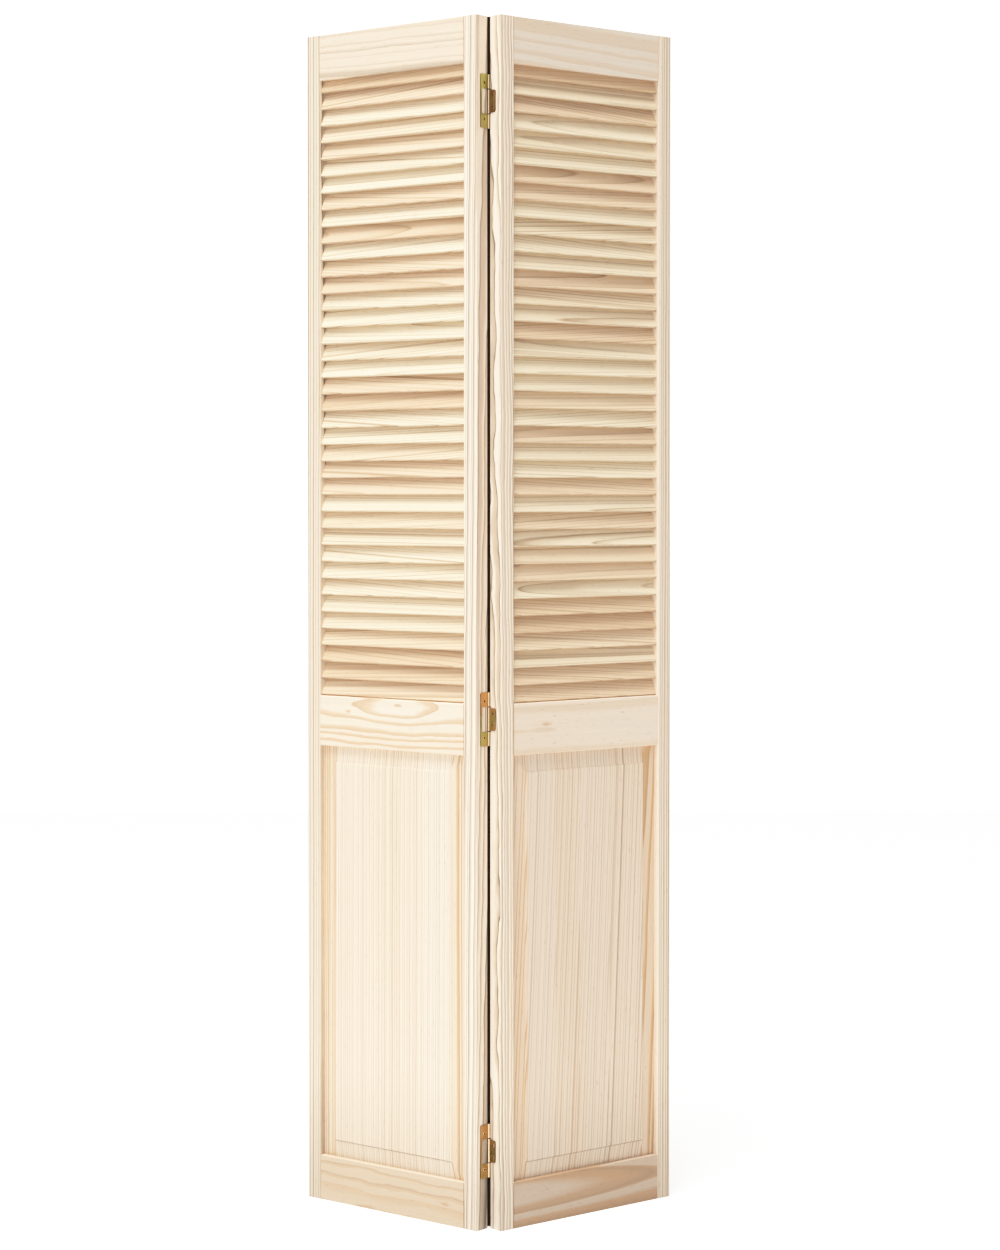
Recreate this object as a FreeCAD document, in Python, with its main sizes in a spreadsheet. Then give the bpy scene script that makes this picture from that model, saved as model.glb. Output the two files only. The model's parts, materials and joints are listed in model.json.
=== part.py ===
import FreeCAD, Part
import os
import re

import Sketcher

# A bifold closet door: two hinged pine leaves, each with louvres over a raised panel.
#
# Frame: +Z up, +X to the right, the ridge of the half-folded door towards -Y, and the origin
# at the middle of the door's base. Each leaf is described flat, as it is when the door is closed,
# from the hinge-pin axis: x runs out along the leaf, y runs from front (-) to back (+), z is up.
# It is then turned about the pin axis by the fold angle. LEFT and RIGHT are the signs of x.

LEFT = -1
RIGHT = 1

# The signs of a rectangle's four corners, in order round it.
AROUND = ((-1, -1), (1, -1), (1, 1), (-1, 1))

DIMENSIONS = {
    "door": {
        "door_height": 2007,
        "leaf_width": 373.4,
        "leaf_thickness": 28.6,
        "fold_angle": 38.1,
        "arris_ease": 1.2,
    },
    "frame": {
        "stile_width": 28.6,
        "stile_round": 3,
        "rail_round": 2.5,
        "top_rail_height": 77,
        "mid_rail_height": 86,
        "mid_rail_bottom": 787,
        "bottom_rail_height": 77,
    },
    "raised panel": {
        "panel_thickness": 20,
        "panel_tongue": 10,
        "panel_border": 27.2,
        "panel_sight": 0.5,
        "panel_step": 2,
        "panel_shoulder": 2.6,
        "panel_float": 0.8,
        "groove_depth": 8,
        "groove_slack": 0.1,
    },
    "louvres": {
        "slat_width": 38,
        "slat_thickness": 6,
        "slat_arris": 1.8,
        "slat_tilt": 26,
        "slat_pitch": 28.74,
        "slat_count": 37,
        "lowest_lip": 0.7,
        "slat_end_gap": 0.5,
        "mortise_depth": 8,
        "mortise_slack": 0.1,
    },
    "tenons": {
        "tenon_thickness": 10,
        "tenon_length": 13,
        "tenon_shoulder": 16,
        "tenon_setback": 35,
        "tenon_slack": 0.1,
        "tenon_end_gap": 0.5,
    },
    "pivot bores": {
        "pivot_radius": 4.76,
        "pivot_depth": 32,
    },
    "hinges": {
        "leaf_gap": 1.9,
        "pin_setback": 2.1,
        "hinge_height": 88.9,
        "low_hinge": 129.6,
        "mid_hinge": 847.3,
        "top_hinge": 1867,
        "plate_thickness": 1.2,
        "knuckle_radius": 2.6,
        "seam_width": 0.35,
        "outer_plate_width": 21.6,
        "outer_plate_corner": 2.5,
        "window_height": 41.4,
        "window_corner": 1.5,
        "side_bar": 2.9,
        "inner_plate_width": 17.5,
        "inner_plate_height": 37.2,
        "inner_plate_corner": 4,
        "inner_neck": 4.5,
        "inner_knuckle_height": 40.8,
    },
    "hinge pins": {
        "pin_radius": 1.35,
        "pin_slack": 0.05,
        "pin_head_radius": 2.45,
        "pin_head_height": 1.5,
    },
    "hinge screws": {
        "outer_screw_inset": 12.3,
        "outer_screw_spacing": 60,
        "inner_screw_inset": 11.3,
        "inner_screw_spacing": 19.4,
        "screw_head_radius": 3.2,
        "screw_shank_radius": 1.75,
        "screw_length": 16,
        "screw_hole_radius": 2,
    },
}

# Heights and distances that follow from the driving dimensions.
MIDDLE_OF_LEAF = "(leaf_gap / 2 + leaf_width / 2)"
HINGE_STILE_OUT = "(leaf_gap / 2 + stile_width / 2)"
OUTER_STILE_OUT = "(leaf_gap / 2 + leaf_width - stile_width / 2)"
LEAF_DEPTH = "(-pin_setback - leaf_thickness / 2)"
RAIL_LENGTH = "(leaf_width - 2 * stile_width)"
MID_RAIL_TOP = "(mid_rail_bottom + mid_rail_height)"
TOP_RAIL_BOTTOM = "(door_height - top_rail_height)"
PANEL_HEIGHT = "(mid_rail_bottom - bottom_rail_height + 2 * groove_depth - 2 * panel_float)"
PANEL_BOTTOM = "(bottom_rail_height - groove_depth + panel_float)"
SLAT_DROP = "(slat_width / 2 * cos(slat_tilt) + (slat_thickness / 2 - slat_arris) * sin(slat_tilt))"
LOWEST_SLAT = f"({MID_RAIL_TOP} + lowest_lip + {SLAT_DROP})"
TOP_SLAT = f"({LOWEST_SLAT} + slat_pitch * (slat_count - 1))"
FREE_FACE = "(plate_thickness - leaf_gap / 2)"
THROUGH_HINGE = "2 * hinge_height"

# Each rail's height, the height of its bottom, and its tenons' shoulders below and above.
RAILS = {
    "bottom_rail": ("bottom_rail_height", "0", "tenon_setback", "tenon_shoulder"),
    "middle_rail": ("mid_rail_height", "mid_rail_bottom", "tenon_shoulder", "tenon_shoulder"),
    "top_rail": ("top_rail_height", TOP_RAIL_BOTTOM, "tenon_shoulder", "tenon_setback"),
}
HINGES = {"bottom_hinge": "low_hinge", "middle_hinge": "mid_hinge", "top_hinge": "top_hinge"}

# The pin axis stands where the folded door's front and back limits are equally far from the origin.
FRONT_LIMIT = (
    "((leaf_gap / 2 + arris_ease) * sin(fold_angle)"
    " - (pin_setback + leaf_thickness - arris_ease) * cos(fold_angle) - arris_ease)"
)
BACK_LIMIT = (
    "((leaf_gap / 2 + leaf_width - arris_ease) * sin(fold_angle)"
    " - (pin_setback + arris_ease) * cos(fold_angle) + arris_ease)"
)
PIN_Y = f"(-({FRONT_LIMIT} + {BACK_LIMIT}) / 2)"

doc = FreeCAD.newDocument("bifold_closet_door")


# ---- the sheet of dimensions ----------------------------------------------------------------

def make_sheet():
    """Write the driving dimensions, one per row, each with its word as alias."""
    sheet = doc.addObject("Spreadsheet::Sheet", "Dims")
    row = 0
    for group, entries in DIMENSIONS.items():
        row += 1
        sheet.set(f"A{row}", group)
        for alias, millimetres in entries.items():
            row += 1
            sheet.set(f"A{row}", alias.replace("_", " "))
            sheet.set(f"B{row}", str(millimetres))
            sheet.setAlias(f"B{row}", alias)
    doc.recompute()
    return sheet


sheet = make_sheet()
ALIASES = [alias for entries in DIMENSIONS.values() for alias in entries]
ALIAS_WORD = re.compile(r"\b(" + "|".join(ALIASES) + r")\b")


def bound(formula):
    """The formula with each dimension's word pointing at its cell."""
    return ALIAS_WORD.sub(r"Dims.\1", formula)


def value(formula):
    """The formula's present value, in millimetres or degrees."""
    return float(sheet.evalExpression(bound(formula)))


# ---- sketches -------------------------------------------------------------------------------

def new_body(label):
    body = doc.addObject("PartDesign::Body", label)
    body.Label = label
    return body


def origin_plane(body, role):
    return next(item for item in body.Origin.OriginFeatures if item.Role == role)


def new_sketch(body, name, role, offset="0"):
    """A sketch on one of the body's own planes, moved along its normal by the offset."""
    sketch = body.newObject("Sketcher::SketchObject", f"{body.Name}_{name}")
    sketch.AttachmentSupport = [(origin_plane(body, role), "")]
    sketch.MapMode = "FlatFace"
    sketch.setExpression("AttachmentOffset.Base.z", bound(offset))
    return sketch


def hold_distance(sketch, kind, geometry, which, formula):
    """Hold a point of the sketch at a distance from the origin, across or up."""
    index = sketch.addConstraint(Sketcher.Constraint(kind, geometry, which, value(formula)))
    sketch.setExpression(f"Constraints[{index}]", bound(formula))


def pin_point(sketch, geometry, which, place):
    hold_distance(sketch, "DistanceX", geometry, which, place[0])
    hold_distance(sketch, "DistanceY", geometry, which, place[1])


def join_ends(sketch, pieces):
    """Join each piece's end to the next one's start; a piece is its number, start and end."""
    for (piece, _, end), (following, start, _) in zip(pieces, pieces[1:] + pieces[:1]):
        sketch.addConstraint(Sketcher.Constraint("Coincident", piece, end, following, start))


def hold_radius(sketch, geometry, formula):
    index = sketch.addConstraint(Sketcher.Constraint("Radius", geometry, value(formula)))
    sketch.setExpression(f"Constraints[{index}]", bound(formula))


def point(place):
    return FreeCAD.Vector(value(place[0]), value(place[1]), 0)


def draw_polygon(sketch, corners):
    """A closed outline of straight lines through the corners."""
    lines = []
    for start, end in zip(corners, corners[1:] + corners[:1]):
        lines.append(sketch.addGeometry(Part.LineSegment(point(start), point(end)), False))
    join_ends(sketch, [(line, 1, 2) for line in lines])
    for line, corner in zip(lines, corners):
        pin_point(sketch, line, 1, corner)


def draw_rectangle(sketch, low, high):
    draw_polygon(sketch, [low, (high[0], low[1]), high, (low[0], high[1])])


def draw_circle(sketch, centre, radius):
    circle = Part.Circle(point(centre), FreeCAD.Vector(0, 0, 1), value(radius))
    geometry = sketch.addGeometry(circle, False)
    pin_point(sketch, geometry, 3, centre)
    hold_radius(sketch, geometry, radius)


def draw_rolled_strip(sketch, side):
    """The edge view of a hinge plate: a flat strip whose end is rolled round the pin.

    The strip lies against the stile's edge, and the roll closes on it but for a narrow seam.
    """
    bore_radius = "pin_radius + pin_slack"
    width = "outer_plate_width" if side == LEFT else "inner_plate_width"
    wood_face = f"{side} * leaf_gap / 2"
    free_face = f"{-side} * {FREE_FACE}"
    seam = f"{-side} * ({FREE_FACE} + seam_width)"
    bore, roll = value(bore_radius), value("knuckle_radius")

    def on_circle(across, radius):
        return FreeCAD.Vector(value(across), -(radius ** 2 - value(across) ** 2) ** 0.5, 0)

    wood_end = on_circle(wood_face, roll)
    free_root = on_circle(free_face, bore)
    seam_end = on_circle(seam, roll)
    seam_root = seam_end * (bore / roll)
    tip = FreeCAD.Vector(0, -value(width), 0)
    wood_tip = tip + FreeCAD.Vector(wood_end.x, 0, 0)
    free_tip = tip + FreeCAD.Vector(free_root.x, 0, 0)
    outline = (
        Part.LineSegment(wood_tip, wood_end),
        Part.Arc(wood_end, FreeCAD.Vector(0, roll, 0), seam_end),
        Part.LineSegment(seam_end, seam_root),
        Part.Arc(seam_root, FreeCAD.Vector(0, bore, 0), free_root),
        Part.LineSegment(free_root, free_tip),
        Part.LineSegment(free_tip, wood_tip),
    )
    wood_side, outer_roll, seam_side, inner_roll, free_side, free_end = (
        sketch.addGeometry(edge, False) for edge in outline)
    join_ends(sketch, [(wood_side, 1, 2), (outer_roll, *arc_ends(side)), (seam_side, 1, 2),
                       (inner_roll, *arc_ends(-side)), (free_side, 1, 2), (free_end, 1, 2)])
    for roll_arc, radius in ((outer_roll, "knuckle_radius"), (inner_roll, bore_radius)):
        sketch.addConstraint(Sketcher.Constraint("Coincident", roll_arc, 3, -1, 1))
        hold_radius(sketch, roll_arc, radius)
    for upright, face in ((wood_side, wood_face), (free_side, free_face)):
        sketch.addConstraint(Sketcher.Constraint("Vertical", upright))
        hold_distance(sketch, "DistanceX", upright, 1, face)
    sketch.addConstraint(Sketcher.Constraint("Horizontal", free_end))
    hold_distance(sketch, "DistanceY", free_end, 1, f"-{width}")
    hold_distance(sketch, "DistanceX", seam_side, 1, seam)
    sketch.addConstraint(Sketcher.Constraint("PointOnObject", -1, 1, seam_side))


def arc_ends(turn):
    """The start and end points of an arc that runs clockwise (-1) or anticlockwise (1)."""
    return (2, 1) if turn < 0 else (1, 2)


# ---- features -------------------------------------------------------------------------------

def add_feature(body, kind, name, **settings):
    feature = body.newObject(f"PartDesign::{kind}", f"{body.Name}_{name}")
    for setting, given in settings.items():
        setattr(feature, setting, given)
    return feature


def pad(body, sketch, length, name="blank", symmetric=False):
    feature = add_feature(body, "Pad", name, Profile=sketch)
    feature.SideType = "Symmetric" if symmetric else "One side"
    feature.setExpression("Length", bound(length))
    doc.recompute()
    return feature


def cut_away(body, before, feature):
    """Finish a feature that removes material, and see that it did."""
    body.Tip = feature
    doc.recompute()
    if body.Shape.Volume > before - 0.01:
        raise RuntimeError(f"{feature.Name} removed nothing")
    return feature


def pocket(body, sketch, depth, name, forwards=False, symmetric=False):
    """Cut the sketch away to a depth, against the sketch's normal unless forwards."""
    before = body.Shape.Volume
    feature = add_feature(body, "Pocket", name, Profile=sketch, Reversed=forwards)
    feature.SideType = "Symmetric" if symmetric else "One side"
    feature.setExpression("Length", bound(depth))
    return cut_away(body, before, feature)


def countersunk_holes(body, sketch, name, radius, sink_radius, depth, forwards):
    before = body.Shape.Volume
    doc.recompute()
    feature = add_feature(body, "Hole", name, Profile=sketch, Reversed=forwards)
    feature.DepthType = "Dimension"
    feature.DrillPoint = "Flat"
    feature.HoleCutType = "Countersink"
    feature.HoleCutCustomValues = True
    feature.setExpression("Diameter", bound(f"2 * {radius}"))
    feature.setExpression("Depth", bound(depth))
    feature.setExpression("HoleCutDiameter", bound(f"2 * {sink_radius}"))
    feature.HoleCutCountersinkAngle = 90
    return cut_away(body, before, feature)


def repeat_upwards(body, feature, name, count, spacing):
    """Repeat a feature up the body's Z axis."""
    direction = (origin_plane(body, "Z_Axis"), [""])
    row = add_feature(body, "LinearPattern", name, Originals=[feature], Direction=direction)
    row.Mode = "Spacing"
    row.setExpression("Offset", bound(spacing))
    row.setExpression("Occurrences", bound(count))
    body.Tip = row
    doc.recompute()
    return row


def edge_names(feature, test):
    """Names of the feature's edges whose midpoint and direction pass the test."""
    names = []
    for number, edge in enumerate(feature.Shape.Edges, start=1):
        middle = edge.CenterOfMass
        along = edge.tangentAt(edge.FirstParameter)
        if test(middle, along):
            names.append(f"Edge{number}")
    return names


def round_edges(body, feature, name, radius, test):
    names = edge_names(feature, test)
    rounded = add_feature(body, "Fillet", name, Base=(feature, names))
    rounded.setExpression("Radius", bound(radius))
    body.Tip = rounded
    doc.recompute()
    return rounded


def seat(body, side, out, back, up):
    """Stand a piece in its leaf: out along the leaf, back from the pin axis, up from the floor."""
    angle = f"({side} * fold_angle)"
    x = f"({side} * {out})"
    formula = (
        f"placement(vector(cos{angle} * {x} - sin{angle} * {back};"
        f" {PIN_Y} + sin{angle} * {x} + cos{angle} * {back}; {up});"
        f" rotation(vector(0; 0; 1); {angle}))"
    )
    body.setExpression("Placement", bound(formula))


# ---- the frame of a leaf --------------------------------------------------------------------

def make_stile(label, side, at_hinge):
    """An upright: a planed bar, grooved for the panel and mortised for the slats on its inner edge."""
    inward = side if at_hinge else -side
    inner_face = f"{inward} * stile_width / 2"
    cut_forwards = inward < 0
    body = new_body(label)

    section = new_sketch(body, "section", "XY_Plane")
    half_width, half_depth = "stile_width / 2", "leaf_thickness / 2"
    draw_rectangle(section, (f"-{half_width}", f"-{half_depth}"), (half_width, half_depth))
    bar = pad(body, section, "door_height")
    rounded = round_edges(body, bar, "inner_round", "stile_round",
                          lambda middle, along: abs(along.z) > 0.9 and middle.x * inward > 0)
    round_edges(body, rounded, "outer_ease", "arris_ease",
                lambda middle, along: abs(along.z) > 0.9 and middle.x * inward < -value(half_width) + 0.1)

    groove = new_sketch(body, "groove_outline", "YZ_Plane", inner_face)
    half_groove = "(panel_tongue / 2 + groove_slack)"
    draw_rectangle(groove, (f"-{half_groove}", "bottom_rail_height - groove_depth"),
                   (half_groove, "mid_rail_bottom + groove_depth"))
    pocket(body, groove, "groove_depth", "panel_groove", cut_forwards)

    sockets = new_sketch(body, "tenon_mortises", "YZ_Plane", inner_face)
    half_tenon = "(tenon_thickness / 2 + tenon_slack)"
    for height, bottom, low_shoulder, high_shoulder in RAILS.values():
        draw_rectangle(sockets, (f"-{half_tenon}", f"{bottom} + {low_shoulder} - tenon_slack"),
                       (half_tenon, f"{bottom} + {height} - {high_shoulder} + tenon_slack"))
    pocket(body, sockets, "tenon_length + tenon_end_gap", "tenon_sockets", cut_forwards)

    if at_hinge:
        bore_pilots(body, side)
    else:
        bore_pivots(body)

    mortise_outline = new_sketch(body, "mortise_outline", "YZ_Plane", inner_face)
    half_length = "slat_width / 2 + mortise_slack"
    half_width = "slat_thickness / 2 + mortise_slack"
    corners = [(f"{along} * ({half_length})", f"{across} * ({half_width})")
               for along, across in AROUND]
    draw_polygon(mortise_outline, tilted(LOWEST_SLAT, corners))
    mortise = pocket(body, mortise_outline, "mortise_depth", "mortise", cut_forwards)
    repeat_upwards(body, mortise, "mortises", "slat_count", "slat_pitch")

    seat(body, side, HINGE_STILE_OUT if at_hinge else OUTER_STILE_OUT, LEAF_DEPTH, "0")
    return body


def bore_pivots(body):
    """Blind bores in both ends of an outer stile, for a pivot pin or a guide pin."""
    foot = new_sketch(body, "foot_centre", "XY_Plane")
    draw_circle(foot, ("0", "0"), "pivot_radius")
    pocket(body, foot, "pivot_depth", "foot_bore", forwards=True)
    head = new_sketch(body, "head_centre", "XY_Plane", "door_height")
    draw_circle(head, ("0", "0"), "pivot_radius")
    pocket(body, head, "pivot_depth", "head_bore")


def bore_pilots(body, side):
    """Pilot holes for the hinge screws in the stile's outer edge."""
    plate = "outer" if side == LEFT else "inner"
    centres = new_sketch(body, "pilot_centres", "YZ_Plane", f"{-side} * stile_width / 2")
    depth_from_middle = f"leaf_thickness / 2 + pin_setback - {plate}_screw_inset"
    for height in HINGES.values():
        for end in (-1, 1):
            draw_circle(centres, (depth_from_middle, f"{height} + {end} * {plate}_screw_spacing / 2"),
                        "screw_shank_radius")
    pocket(body, centres, "screw_length - plate_thickness", "pilots", forwards=side == RIGHT)


def make_rail(label, side, rail, round_low, round_high, groove_edge=None):
    """A cross piece, tenoned into the stiles, eased at its openings and grooved for the panel."""
    height, bottom, low_shoulder, high_shoulder = RAILS[rail]
    body = new_body(label)
    section = new_sketch(body, "section", "YZ_Plane")
    draw_rectangle(section, ("-leaf_thickness / 2", "0"), ("leaf_thickness / 2", height))
    bar = pad(body, section, RAIL_LENGTH, symmetric=True)
    half_height = value(height) / 2
    low = round_edges(body, bar, "low_round", round_low,
                      lambda middle, along: abs(along.x) > 0.9 and middle.z < half_height)
    round_edges(body, low, "high_round", round_high,
                lambda middle, along: abs(along.x) > 0.9 and middle.z > value(height) - 0.1)

    tenon = new_sketch(body, "tenon_section", "YZ_Plane")
    draw_rectangle(tenon, ("-tenon_thickness / 2", low_shoulder),
                   ("tenon_thickness / 2", f"{height} - {high_shoulder}"))
    pad(body, tenon, f"{RAIL_LENGTH} + 2 * tenon_length", "tenons", symmetric=True)

    if groove_edge is not None:
        groove = new_sketch(body, "groove_section", "YZ_Plane")
        half_groove = "(panel_tongue / 2 + groove_slack)"
        start = f"{groove_edge} - groove_depth"
        draw_rectangle(groove, (f"-{half_groove}", start), (half_groove, f"{start} + 2 * groove_depth"))
        pocket(body, groove, RAIL_LENGTH, "panel_groove", symmetric=True)
    seat(body, side, MIDDLE_OF_LEAF, LEAF_DEPTH, bottom)
    return body


# ---- the raised panel -----------------------------------------------------------------------

def panel_profile(edge, sight):
    """Half thicknesses of the panel, from the edge of its tongue in to its field.

    edge and sight are the distances of the tongue's edge and of the bevel's foot from the
    panel's middle; each entry is a distance from the middle and the half thickness there.
    """
    foot = f"({sight} - panel_border)"
    field = f"({foot} - panel_shoulder)"
    return [
        (edge, "panel_tongue / 2"),
        (sight, "panel_tongue / 2"),
        (foot, "panel_thickness / 2 - panel_step"),
        (field, "panel_thickness / 2"),
    ]


def make_panel(label, side):
    """The raised panel: tongues all round, a shallow bevel, and a steeper shoulder up to the field."""
    body = new_body(label)
    half_width = f"({RAIL_LENGTH} / 2 + groove_depth - panel_float)"
    half_sight = f"({RAIL_LENGTH} / 2 - panel_sight)"
    upright = panel_profile(half_width, half_sight)
    front = [(out, f"-({half})") for out, half in upright]
    front += [(f"-{out}", f"-({half})") for out, half in reversed(upright)]
    back = [(f"-{out}", half) for out, half in upright]
    back += [(out, half) for out, half in reversed(upright)]
    section = new_sketch(body, "section", "XY_Plane")
    draw_polygon(section, front + back)
    pad(body, section, PANEL_HEIGHT)

    cuts = new_sketch(body, "cross_cuts", "YZ_Plane")
    half_height = f"({PANEL_HEIGHT} / 2)"
    sight_height = f"({half_height} - groove_depth + panel_float - panel_sight)"
    level = panel_profile(half_height, sight_height)
    clear = "(panel_thickness / 2 + 1)"
    for face in (-1, 1):
        for end in (-1, 1):
            outline = [(clear, f"{half_height} + 1"), ("panel_tongue / 2", f"{half_height} + 1")]
            outline += [(half, out) for out, half in level[1:]]
            outline += [(clear, level[-1][0])]
            draw_polygon(cuts, [(f"{face} * ({across})", f"{half_height} + {end} * ({up})")
                                for across, up in outline])
    pocket(body, cuts, "2 * leaf_width", "cross_bevels", symmetric=True)
    seat(body, side, MIDDLE_OF_LEAF, LEAF_DEPTH, PANEL_BOTTOM)
    return body


# ---- the louvres ----------------------------------------------------------------------------

def tilted(centre_height, outline):
    """An outline about a slat's middle, leaned so that its front edge hangs below its back edge.

    Each corner is its distance along the slat's width and its distance across its thickness.
    """
    return [(f"({along}) * sin(slat_tilt) - ({across}) * cos(slat_tilt)",
             f"{centre_height} + ({along}) * cos(slat_tilt) + ({across}) * sin(slat_tilt)")
            for along, across in outline]


def pad_slat(body):
    """One slat: a thin board with its four long arrises taken off."""
    reach, half = "slat_width / 2", "slat_thickness / 2"
    outline = []
    for along, across in AROUND:
        nose = (f"{along} * {reach}", f"{across} * ({half} - slat_arris)")
        face = (f"{along} * ({reach} - slat_arris)", f"{across} * {half}")
        outline += [nose, face] if along * across > 0 else [face, nose]
    section = new_sketch(body, "section", "YZ_Plane")
    draw_polygon(section, tilted("0", outline))
    length = f"{RAIL_LENGTH} + 2 * mortise_depth - 2 * slat_end_gap"
    return pad(body, section, length, symmetric=True)


def make_slats(label, side):
    """The full-width slats, all alike, at one pitch."""
    body = new_body(label)
    body.AllowCompound = True
    slat = pad_slat(body)
    repeat_upwards(body, slat, "slats", "slat_count - 1", "slat_pitch")
    seat(body, side, MIDDLE_OF_LEAF, LEAF_DEPTH, LOWEST_SLAT)
    return body


def make_top_slat(label, side):
    """The uppermost slat, ripped to fit under the top rail."""
    body = new_body(label)
    pad_slat(body)
    rip = new_sketch(body, "rip_line", "YZ_Plane")
    cut_height = f"{TOP_RAIL_BOTTOM} - {TOP_SLAT}"
    draw_rectangle(rip, ("-leaf_thickness / 2", cut_height), ("leaf_thickness / 2", "slat_width"))
    pocket(body, rip, "2 * leaf_width", "rip", symmetric=True)
    seat(body, side, MIDDLE_OF_LEAF, LEAF_DEPTH, TOP_SLAT)
    return body


# ---- the hinges -----------------------------------------------------------------------------

def screw_holes(body, side, plate):
    face = f"{-side} * {FREE_FACE}"
    centres = new_sketch(body, "screw_centres", "YZ_Plane", face)
    for end in (-1, 1):
        draw_circle(centres, (f"-{plate}_screw_inset", f"{end} * {plate}_screw_spacing / 2"),
                    "screw_hole_radius")
    countersunk_holes(body, centres, "screw_holes", "screw_hole_radius", "screw_head_radius",
                      "2 * plate_thickness", forwards=side == RIGHT)


def roll_plate(body, side, height):
    """A strip as tall as the plate, with its end rolled round the pin, centred on the hinge."""
    section = new_sketch(body, "strip", "XY_Plane")
    draw_rolled_strip(section, side)
    return pad(body, section, height, symmetric=True)


def make_outer_plate(label, height):
    """The plate with the window: two outer knuckles joined by a narrow bar at its free edge."""
    body = new_body(label)
    strip = roll_plate(body, LEFT, "hinge_height")
    tip = -value("outer_plate_width")
    corners = round_edges(body, strip, "corners", "outer_plate_corner",
                          lambda middle, along: abs(along.x) > 0.9 and middle.y < tip + 0.01)
    window = new_sketch(body, "window_outline", "YZ_Plane")
    draw_rectangle(window, ("-outer_plate_width + side_bar", "-window_height / 2"),
                   ("2 * knuckle_radius", "window_height / 2"))
    opened = pocket(body, window, THROUGH_HINGE, "window", symmetric=True)
    bar_edge = value("-outer_plate_width + side_bar")
    round_edges(body, opened, "window_corners", "window_corner",
                lambda middle, along: abs(along.x) > 0.9 and abs(middle.y - bar_edge) < 0.01)
    screw_holes(body, LEFT, "outer")
    seat(body, LEFT, "0", "0", height)
    return body


def make_inner_plate(label, height):
    """The plate that nests in the window: one middle knuckle and a smaller round-cornered leaf."""
    body = new_body(label)
    roll_plate(body, RIGHT, "inner_knuckle_height")
    shoulders = new_sketch(body, "shoulder_outlines", "YZ_Plane")
    for end in (-1, 1):
        draw_rectangle(shoulders, ("-inner_plate_width - 1", f"{end} * inner_plate_height / 2"),
                       ("-inner_neck", f"{end} * inner_knuckle_height"))
    necked = pocket(body, shoulders, THROUGH_HINGE, "shoulders", symmetric=True)
    tip = -value("inner_plate_width")
    round_edges(body, necked, "corners", "inner_plate_corner",
                lambda middle, along: abs(along.x) > 0.9 and middle.y < tip + 0.01)
    screw_holes(body, RIGHT, "inner")
    seat(body, RIGHT, "0", "0", height)
    return body


def make_pin(label, height):
    """The hinge pin, with a low flat head at each end that keeps it in the knuckles."""
    body = new_body(label)
    outline = new_sketch(body, "half_profile", "XZ_Plane")
    under_head = "hinge_height / 2"
    tip = f"({under_head} + pin_head_height)"
    upper = [("pin_radius", under_head), ("pin_head_radius", under_head),
             ("pin_head_radius", tip), ("0", tip)]
    draw_polygon(outline, [(out, f"-({up})") for out, up in reversed(upper)] + upper)
    turned = add_feature(body, "Revolution", "turned", Profile=outline)
    turned.ReferenceAxis = (outline, ["V_Axis"])
    turned.Angle = 360
    doc.recompute()
    seat(body, LEFT, "0", "0", height)
    return body


def make_screws(label, side, plate):
    """All the countersunk screws that hold one leaf's hinge plates to its stile."""
    body = new_body(label)
    body.AllowCompound = True
    shank = "screw_shank_radius"
    profile = [("0", "0"), ("0", "screw_head_radius"), ("plate_thickness", shank),
               ("screw_length", shank), ("screw_length", "0")]
    for hinge, height in HINGES.items():
        for end, place in ((-1, "low"), (1, "high")):
            level = f"({height} + {end} * {plate}_screw_spacing / 2)"
            outline = new_sketch(body, f"{hinge}_{place}_half_profile", "XZ_Plane")
            draw_polygon(outline, [(f"{side} * ({along})", f"{level} + {across}")
                                   for along, across in profile])
            axis = sketch_axis(outline, level)
            turned = add_feature(body, "Revolution", f"{hinge}_{place}", Profile=outline)
            turned.ReferenceAxis = (outline, [axis])
            turned.Angle = 360
            body.Tip = turned
            doc.recompute()
    seat(body, side, f"-{FREE_FACE}", f"-{plate}_screw_inset", "0")
    return body


def sketch_axis(sketch, level):
    """A construction line across the sketch at a height, to turn a profile about."""
    ends = FreeCAD.Vector(-1, value(level), 0), FreeCAD.Vector(1, value(level), 0)
    line = sketch.addGeometry(Part.LineSegment(*ends), True)
    for which, along in ((1, "-1"), (2, "1")):
        pin_point(sketch, line, which, (along, level))
    return "Axis0"


# ---- the door -------------------------------------------------------------------------------

def make_leaf(name, side):
    return [
        make_stile(f"{name}_hinge_stile", side, at_hinge=True),
        make_stile(f"{name}_outer_stile", side, at_hinge=False),
        make_rail(f"{name}_top_rail", side, "top_rail", "rail_round", "arris_ease"),
        make_rail(f"{name}_middle_rail", side, "middle_rail", "rail_round", "rail_round",
                  groove_edge="0"),
        make_rail(f"{name}_bottom_rail", side, "bottom_rail", "arris_ease", "rail_round",
                  groove_edge="bottom_rail_height"),
        make_panel(f"{name}_raised_panel", side),
        make_slats(f"{name}_louvre_slats", side),
        make_top_slat(f"{name}_top_slat", side),
    ]


def make_hinge(name, height):
    return [
        make_outer_plate(f"{name}_outer_plate", height),
        make_inner_plate(f"{name}_inner_plate", height),
        make_pin(f"{name}_pin", height),
    ]


def check_document():
    """Stop if any object of the document failed to compute."""
    for item in doc.Objects:
        if "Invalid" in item.State or "Error" in item.State:
            raise RuntimeError(f"{item.Name} is {item.State}")


def export(pieces):
    """Check each piece's solids and write them, one file per piece."""
    os.makedirs("parts", exist_ok=True)
    for piece in pieces:
        shape = piece.Shape
        if shape.isNull() or not shape.isValid() or not shape.Solids:
            raise RuntimeError(f"{piece.Label} has no valid solid")
        shape.exportStep(f"parts/{piece.Label}.step")
        print(f"{piece.Label}: {len(shape.Solids)} solid(s), {shape.Volume / 1000:.1f} cm3")


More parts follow.
